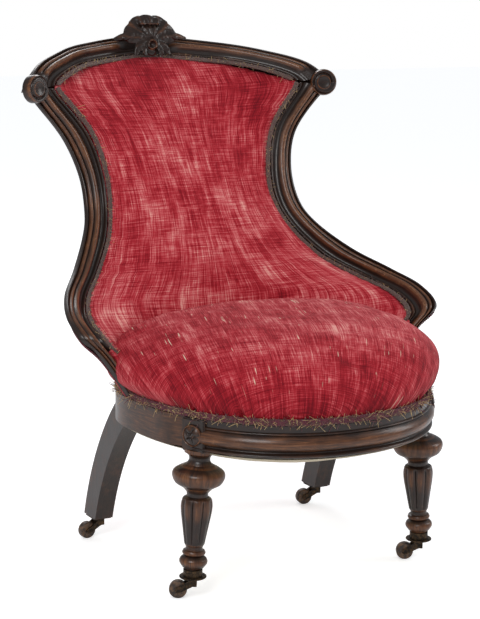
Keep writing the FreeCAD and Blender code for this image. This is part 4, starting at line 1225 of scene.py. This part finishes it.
def cord_tree():
    tree, given = new_tree("cord along a path", ["Radius"])
    path = node(tree, "GeometryNodeMeshToCurve", {"Mesh": given["Geometry"]})
    profile = node(tree, "GeometryNodeCurvePrimitiveCircle", {"Resolution": 6, "Radius": given["Radius"]})
    tube = node(tree, "GeometryNodeCurveToMesh", {"Curve": path.outputs[0], "Profile Curve": profile.outputs[0], "Fill Caps": True})
    return ended(tree, given, tube.outputs[0])


def bead_tree():
    tree, given = new_tree("beads along a path", ["Radius", "Pitch"])
    path = node(tree, "GeometryNodeMeshToCurve", {"Mesh": given["Geometry"]})
    spots = node(tree, "GeometryNodeResampleCurve", {"Curve": path.outputs[0], "Length": given["Pitch"]}, mode="LENGTH")
    bead = node(tree, "GeometryNodeMeshUVSphere", {"Segments": 12, "Rings": 8, "Radius": given["Radius"]})
    beads = node(tree, "GeometryNodeInstanceOnPoints", {"Points": spots.outputs[0], "Instance": bead.outputs[0]})
    return ended(tree, given, beads.outputs[0])


def laid_out(name, paths, tree, **inputs):
    """Bakes a tree over rows of points."""
    points, edges = [], []
    for path in paths:
        edges += [(i, i + 1) for i in range(len(points), len(points) + len(path) - 1)]
        points += [tuple(p) for p in path]
    mesh = bpy.data.meshes.new(name)
    mesh.from_pydata(points, edges, [])
    piece = new_object(name, mesh)
    modifier = piece.modifiers.new(tree.name, "NODES")
    modifier.node_group = tree
    for item in tree.interface.items_tree:
        if item.in_out == "INPUT" and item.name in inputs:
            modifier[item.identifier] = inputs[item.name]
    evaluated(piece)
    return piece


class Ribbon:
    """A braid's middle line with its width and outward directions, asked for by the way along it."""

    def __init__(self, rows):
        self.rows = np.array([[*middle, *wide, *out] for middle, wide, out in rows])
        steps = np.linalg.norm(np.diff(self.rows[:, :3], axis=0), axis=1)
        self.ways = np.concatenate([[0.0], np.cumsum(steps)])
        self.length = self.ways[-1]

    def at(self, shares):
        """The middle, width and outward directions at each share of the whole way."""
        places = np.asarray(shares) * self.length
        values = np.stack([np.interp(places, self.ways, column) for column in self.rows.T], axis=1)
        return [(Vector(v[:3]), Vector(v[3:6]).normalized(), Vector(v[6:]).normalized()) for v in values]


def plait(ribbon, width, thick, pitch):
    """Four strands that cross over one another."""
    spots = ribbon.at(np.linspace(0, 1, int(ribbon.length / pitch * 8) + 1))
    strands = []
    for strand in range(4):
        row = []
        for step, (middle, wide, out) in enumerate(spots):
            turn = math.tau * step / 8 + strand * math.tau / 4
            stray = noise.noise_vector(middle * 160 + Vector((strand, 0, 0))) * 0.9 * MM
            row.append(middle + wide * (math.sin(turn) * width / 2) + out * (math.sin(2 * turn) * thick / 2) + stray)
        strands.append(row)
    return strands


def frayed(ribbon, width, count, longest, dice):
    """Loose thread ends that stand out of a braid and curl."""
    threads = []
    for middle, wide, out in ribbon.at([dice.random() for _ in range(count)]):
        along = wide.cross(out)
        start = middle + wide * ((dice.random() - 0.5) * width) + out * (0.6 * MM)
        aim = (along * dice.gauss(0, 0.9) + wide * dice.gauss(0, 0.8) + out * (0.15 + abs(dice.gauss(0, 0.35)))).normalized()
        curl = Vector([dice.gauss(0, 0.5) for _ in range(3)])
        reach = dice.uniform(0.25, 1.0) * longest
        threads.append([start + (aim * q + curl * q * q) * reach for q in (0.0, 0.33, 0.67, 1.0)])
    return threads


def braided(name, ribbons, width, thick, yarn, node_name, straw_share, longest, dice):
    """Strands, fuzz in the same yarn and straw threads as one piece."""
    strands, fuzz, straws = [], [], []
    for ribbon in ribbons:
        strands += plait(ribbon, width - 3 * MM, thick, 10 * MM)
        fuzz += frayed(ribbon, width, int(ribbon.length * FUZZ_PER_METRE), longest, dice)
        straws += frayed(ribbon, width, int(ribbon.length * FUZZ_PER_METRE * straw_share), longest * 1.3, dice)
    main = laid_out(name, strands, cord, Radius=1.55 * MM, Finish=yarn)
    loose = laid_out(name + "_fuzz", fuzz, cord, Radius=0.36 * MM, Finish=yarn)
    straw = laid_out(name + "_straw", straws, cord, Radius=0.30 * MM, Finish=straw_thread)
    joined(main, [loose, straw], name)
    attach(main, "chair")
    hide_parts(node_name)


cord, bead = cord_tree(), bead_tree()
FUZZ_PER_METRE = 1100
BRAID_WIDTH = 12 * MM
BRAID_TO = 110
dice = random.Random(12)

seat_ribbon = Ribbon([(plan(a, 1.5 * MM) + Vector((0, 0, rail_top + BRAID_WIDTH / 2 + 0.5 * MM)), Vector((0, 0, 1)), plan_outward(a))
                      for a in range(-BRAID_TO, BRAID_TO + 1, 2)])
braided("seat_braid", [seat_ribbon], BRAID_WIDTH, 2.6 * MM, seat_yarn, "seat_gimp", 0.55, 10 * MM, dice)


def edge_ribbon(outers, inners, flip=False):
    """The braid that lies on the pad just inside the moulding."""
    rows = []
    for outer, inner, tangent in zip(outers, inners, runs_tangents(outers, inners)):
        across = (inner - outer).normalized()
        backward = tangent.cross(across).normalized()
        row = [inner + across * (0.6 * MM + BRAID_WIDTH * 0.42) + backward * 3.5 * MM, across, -backward]
        rows.append(mirrored(row) if flip else row)
    return Ribbon(rows)


low_end = len(side_outers) - FRAME_STEPS
back_ribbons = [edge_ribbon(side_outers[6:low_end], side_inners[6:low_end], flip) for flip in (False, True)]
back_ribbons.append(edge_ribbon(crest_outers[6:-6], crest_inners[6:-6]))
braided("back_braid", back_ribbons, BRAID_WIDTH * 0.8, 2.4 * MM, back_yarn, "back_gimp", 0.22, 6 * MM, dice)

CUP_BEAD = 1.5 * MM
cup_low, cup_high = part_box("caster_cup_front_left")
cup_middle = (cup_low + cup_high) / 2
cup_rows = []
for sign in (1, -1):
    cup_rows.append([Vector((sign * cup_middle.x, cup_middle.y, cup_low.z + CUP_BEAD)) + 22 * MM * Vector((math.cos(a), math.sin(a), 0))
                     for a in (math.tau * i / 64 for i in range(65))])
finish_piece(laid_out("cup_beads", cup_rows, bead, Radius=CUP_BEAD, Pitch=3.3 * MM, Finish=old_brass), old_brass, "brass")

beaded_edge = [ring[0] + (ring[0] - ring[3]).normalized() * 1.5 * MM for ring in cover_rings[:22]]
finish_piece(laid_out("cover_edge_beads", [beaded_edge, mirrored(beaded_edge)], bead, Radius=1.7 * MM, Pitch=3.8 * MM, Finish=seat_yarn),
             seat_yarn, "gimp")


# Construction pieces that stay as they are, with their finishes

for name, piece in nodes.items():
    for start, finish in (("side_seat_rail", rail_walnut), ("back_seat_rail", plain_wood), ("corner_blocks", plain_wood),
                          ("back_leg", leg_walnut), ("caster_wheel", wheel_brown), ("caster_", old_brass), ("seat_springs", spring_steel)):
        if name.startswith(start):
            piece.data.materials.clear()
            piece.data.materials.append(finish)
            break


# Floor, background, lamps and camera


def directly_seen(tree):
    """1 for what the camera sees, straight or through glass."""
    rays = node(tree, "ShaderNodeLightPath").outputs
    return calc(tree, "MAXIMUM", rays["Is Camera Ray"], rays["Is Transmission Ray"])


FLOOR_GLOW = 0.45


def stage_and_lights():
    """A plain pale floor that keeps the shadow, a white background and soft lamps."""
    mesh = bpy.data.meshes.new("floor")
    reach = 12.0
    mesh.from_pydata([(-reach, -reach, 0), (reach, -reach, 0), (reach, reach, 0), (-reach, reach, 0)], [], [(0, 1, 2, 3)])
    floor = new_object("floor", mesh)
    material, tree, shader = new_material("floor_white")
    shader.inputs["Base Color"].default_value = (0.93, 0.93, 0.93, 1.0)
    shader.inputs["Roughness"].default_value = 0.9
    shader.inputs["Emission Color"].default_value = (1.0, 1.0, 1.0, 1.0)
    tree.links.new(calc(tree, "MULTIPLY", directly_seen(tree), FLOOR_GLOW), shader.inputs["Emission Strength"])
    floor.data.materials.append(material)
    world = bpy.data.worlds.new("studio")
    scene.world = world
    world.use_nodes = True
    tree = world.node_tree
    tree.nodes.clear()
    seen = node(tree, "ShaderNodeBackground", {"Color": (1.0, 1.0, 1.0, 1.0), "Strength": 1.0})
    mirrored_share = node(tree, "ShaderNodeLightPath").outputs["Is Glossy Ray"]
    strength = calc(tree, "SUBTRACT", WORLD_LIGHT, calc(tree, "MULTIPLY", mirrored_share, 0.5 * WORLD_LIGHT))
    fill = node(tree, "ShaderNodeBackground", {"Color": (0.93, 0.96, 1.0, 1.0), "Strength": strength})
    mix = node(tree, "ShaderNodeMixShader", {0: directly_seen(tree), 1: fill.outputs[0], 2: seen.outputs[0]})
    output = node(tree, "ShaderNodeOutputWorld")
    tree.links.new(mix.outputs[0], output.inputs["Surface"])
    for name, spot, target, side, watts in LAMPS:
        lamp = bpy.data.lights.new(name, "AREA")
        lamp.shape = "RECTANGLE"
        lamp.size, lamp.size_y = side
        lamp.energy = watts
        made = new_object(name, lamp)
        made.location = spot
        made.rotation_euler = (Vector(target) - Vector(spot)).to_track_quat("-Z", "Y").to_euler()


WORLD_LIGHT = 0.62
LAMPS = [
    ("key_lamp", (-2.6, -2.4, 2.9), (0, 0, 0.5), (1.6, 1.6), 62.0),
    ("side_lamp", (3.0, -1.2, 2.0), (0, 0, 0.5), (1.2, 1.8), 30.0),
    ("back_lamp", (0.6, 3.0, 2.4), (0, 0, 0.6), (1.8, 1.2), 24.0),
]

# The camera stands where the photograph was taken from, worked out from the chair's own mirrored points
CAMERA_PLACE = Vector((-1.5723, -2.8779, 1.0793))
CAMERA_RIGHT = Vector((0.87970, -0.47531, 0.01440))
CAMERA_UP = Vector((0.07971, 0.17724, 0.98094))
CAMERA_AHEAD = Vector((0.46880, 0.86178, -0.19380))
FRAME_HEIGHT = 619
FOCAL_PIXELS = 1800.0
MIDDLE_OFFSET = -6.77
SENSOR = 36.0


def stand_camera():
    camera = bpy.data.cameras.new("camera")
    camera.sensor_width = SENSOR
    camera.lens = SENSOR * FOCAL_PIXELS / FRAME_HEIGHT
    camera.shift_x = -MIDDLE_OFFSET / FRAME_HEIGHT
    camera.clip_end = 60.0
    made = new_object("camera", camera)
    turn = Matrix((CAMERA_RIGHT, CAMERA_UP, -CAMERA_AHEAD)).transposed()
    made.matrix_world = Matrix.Translation(CAMERA_PLACE) @ turn.to_4x4()
    scene.camera = made


stage_and_lights()
stand_camera()
scene.view_settings.view_transform = "Standard"
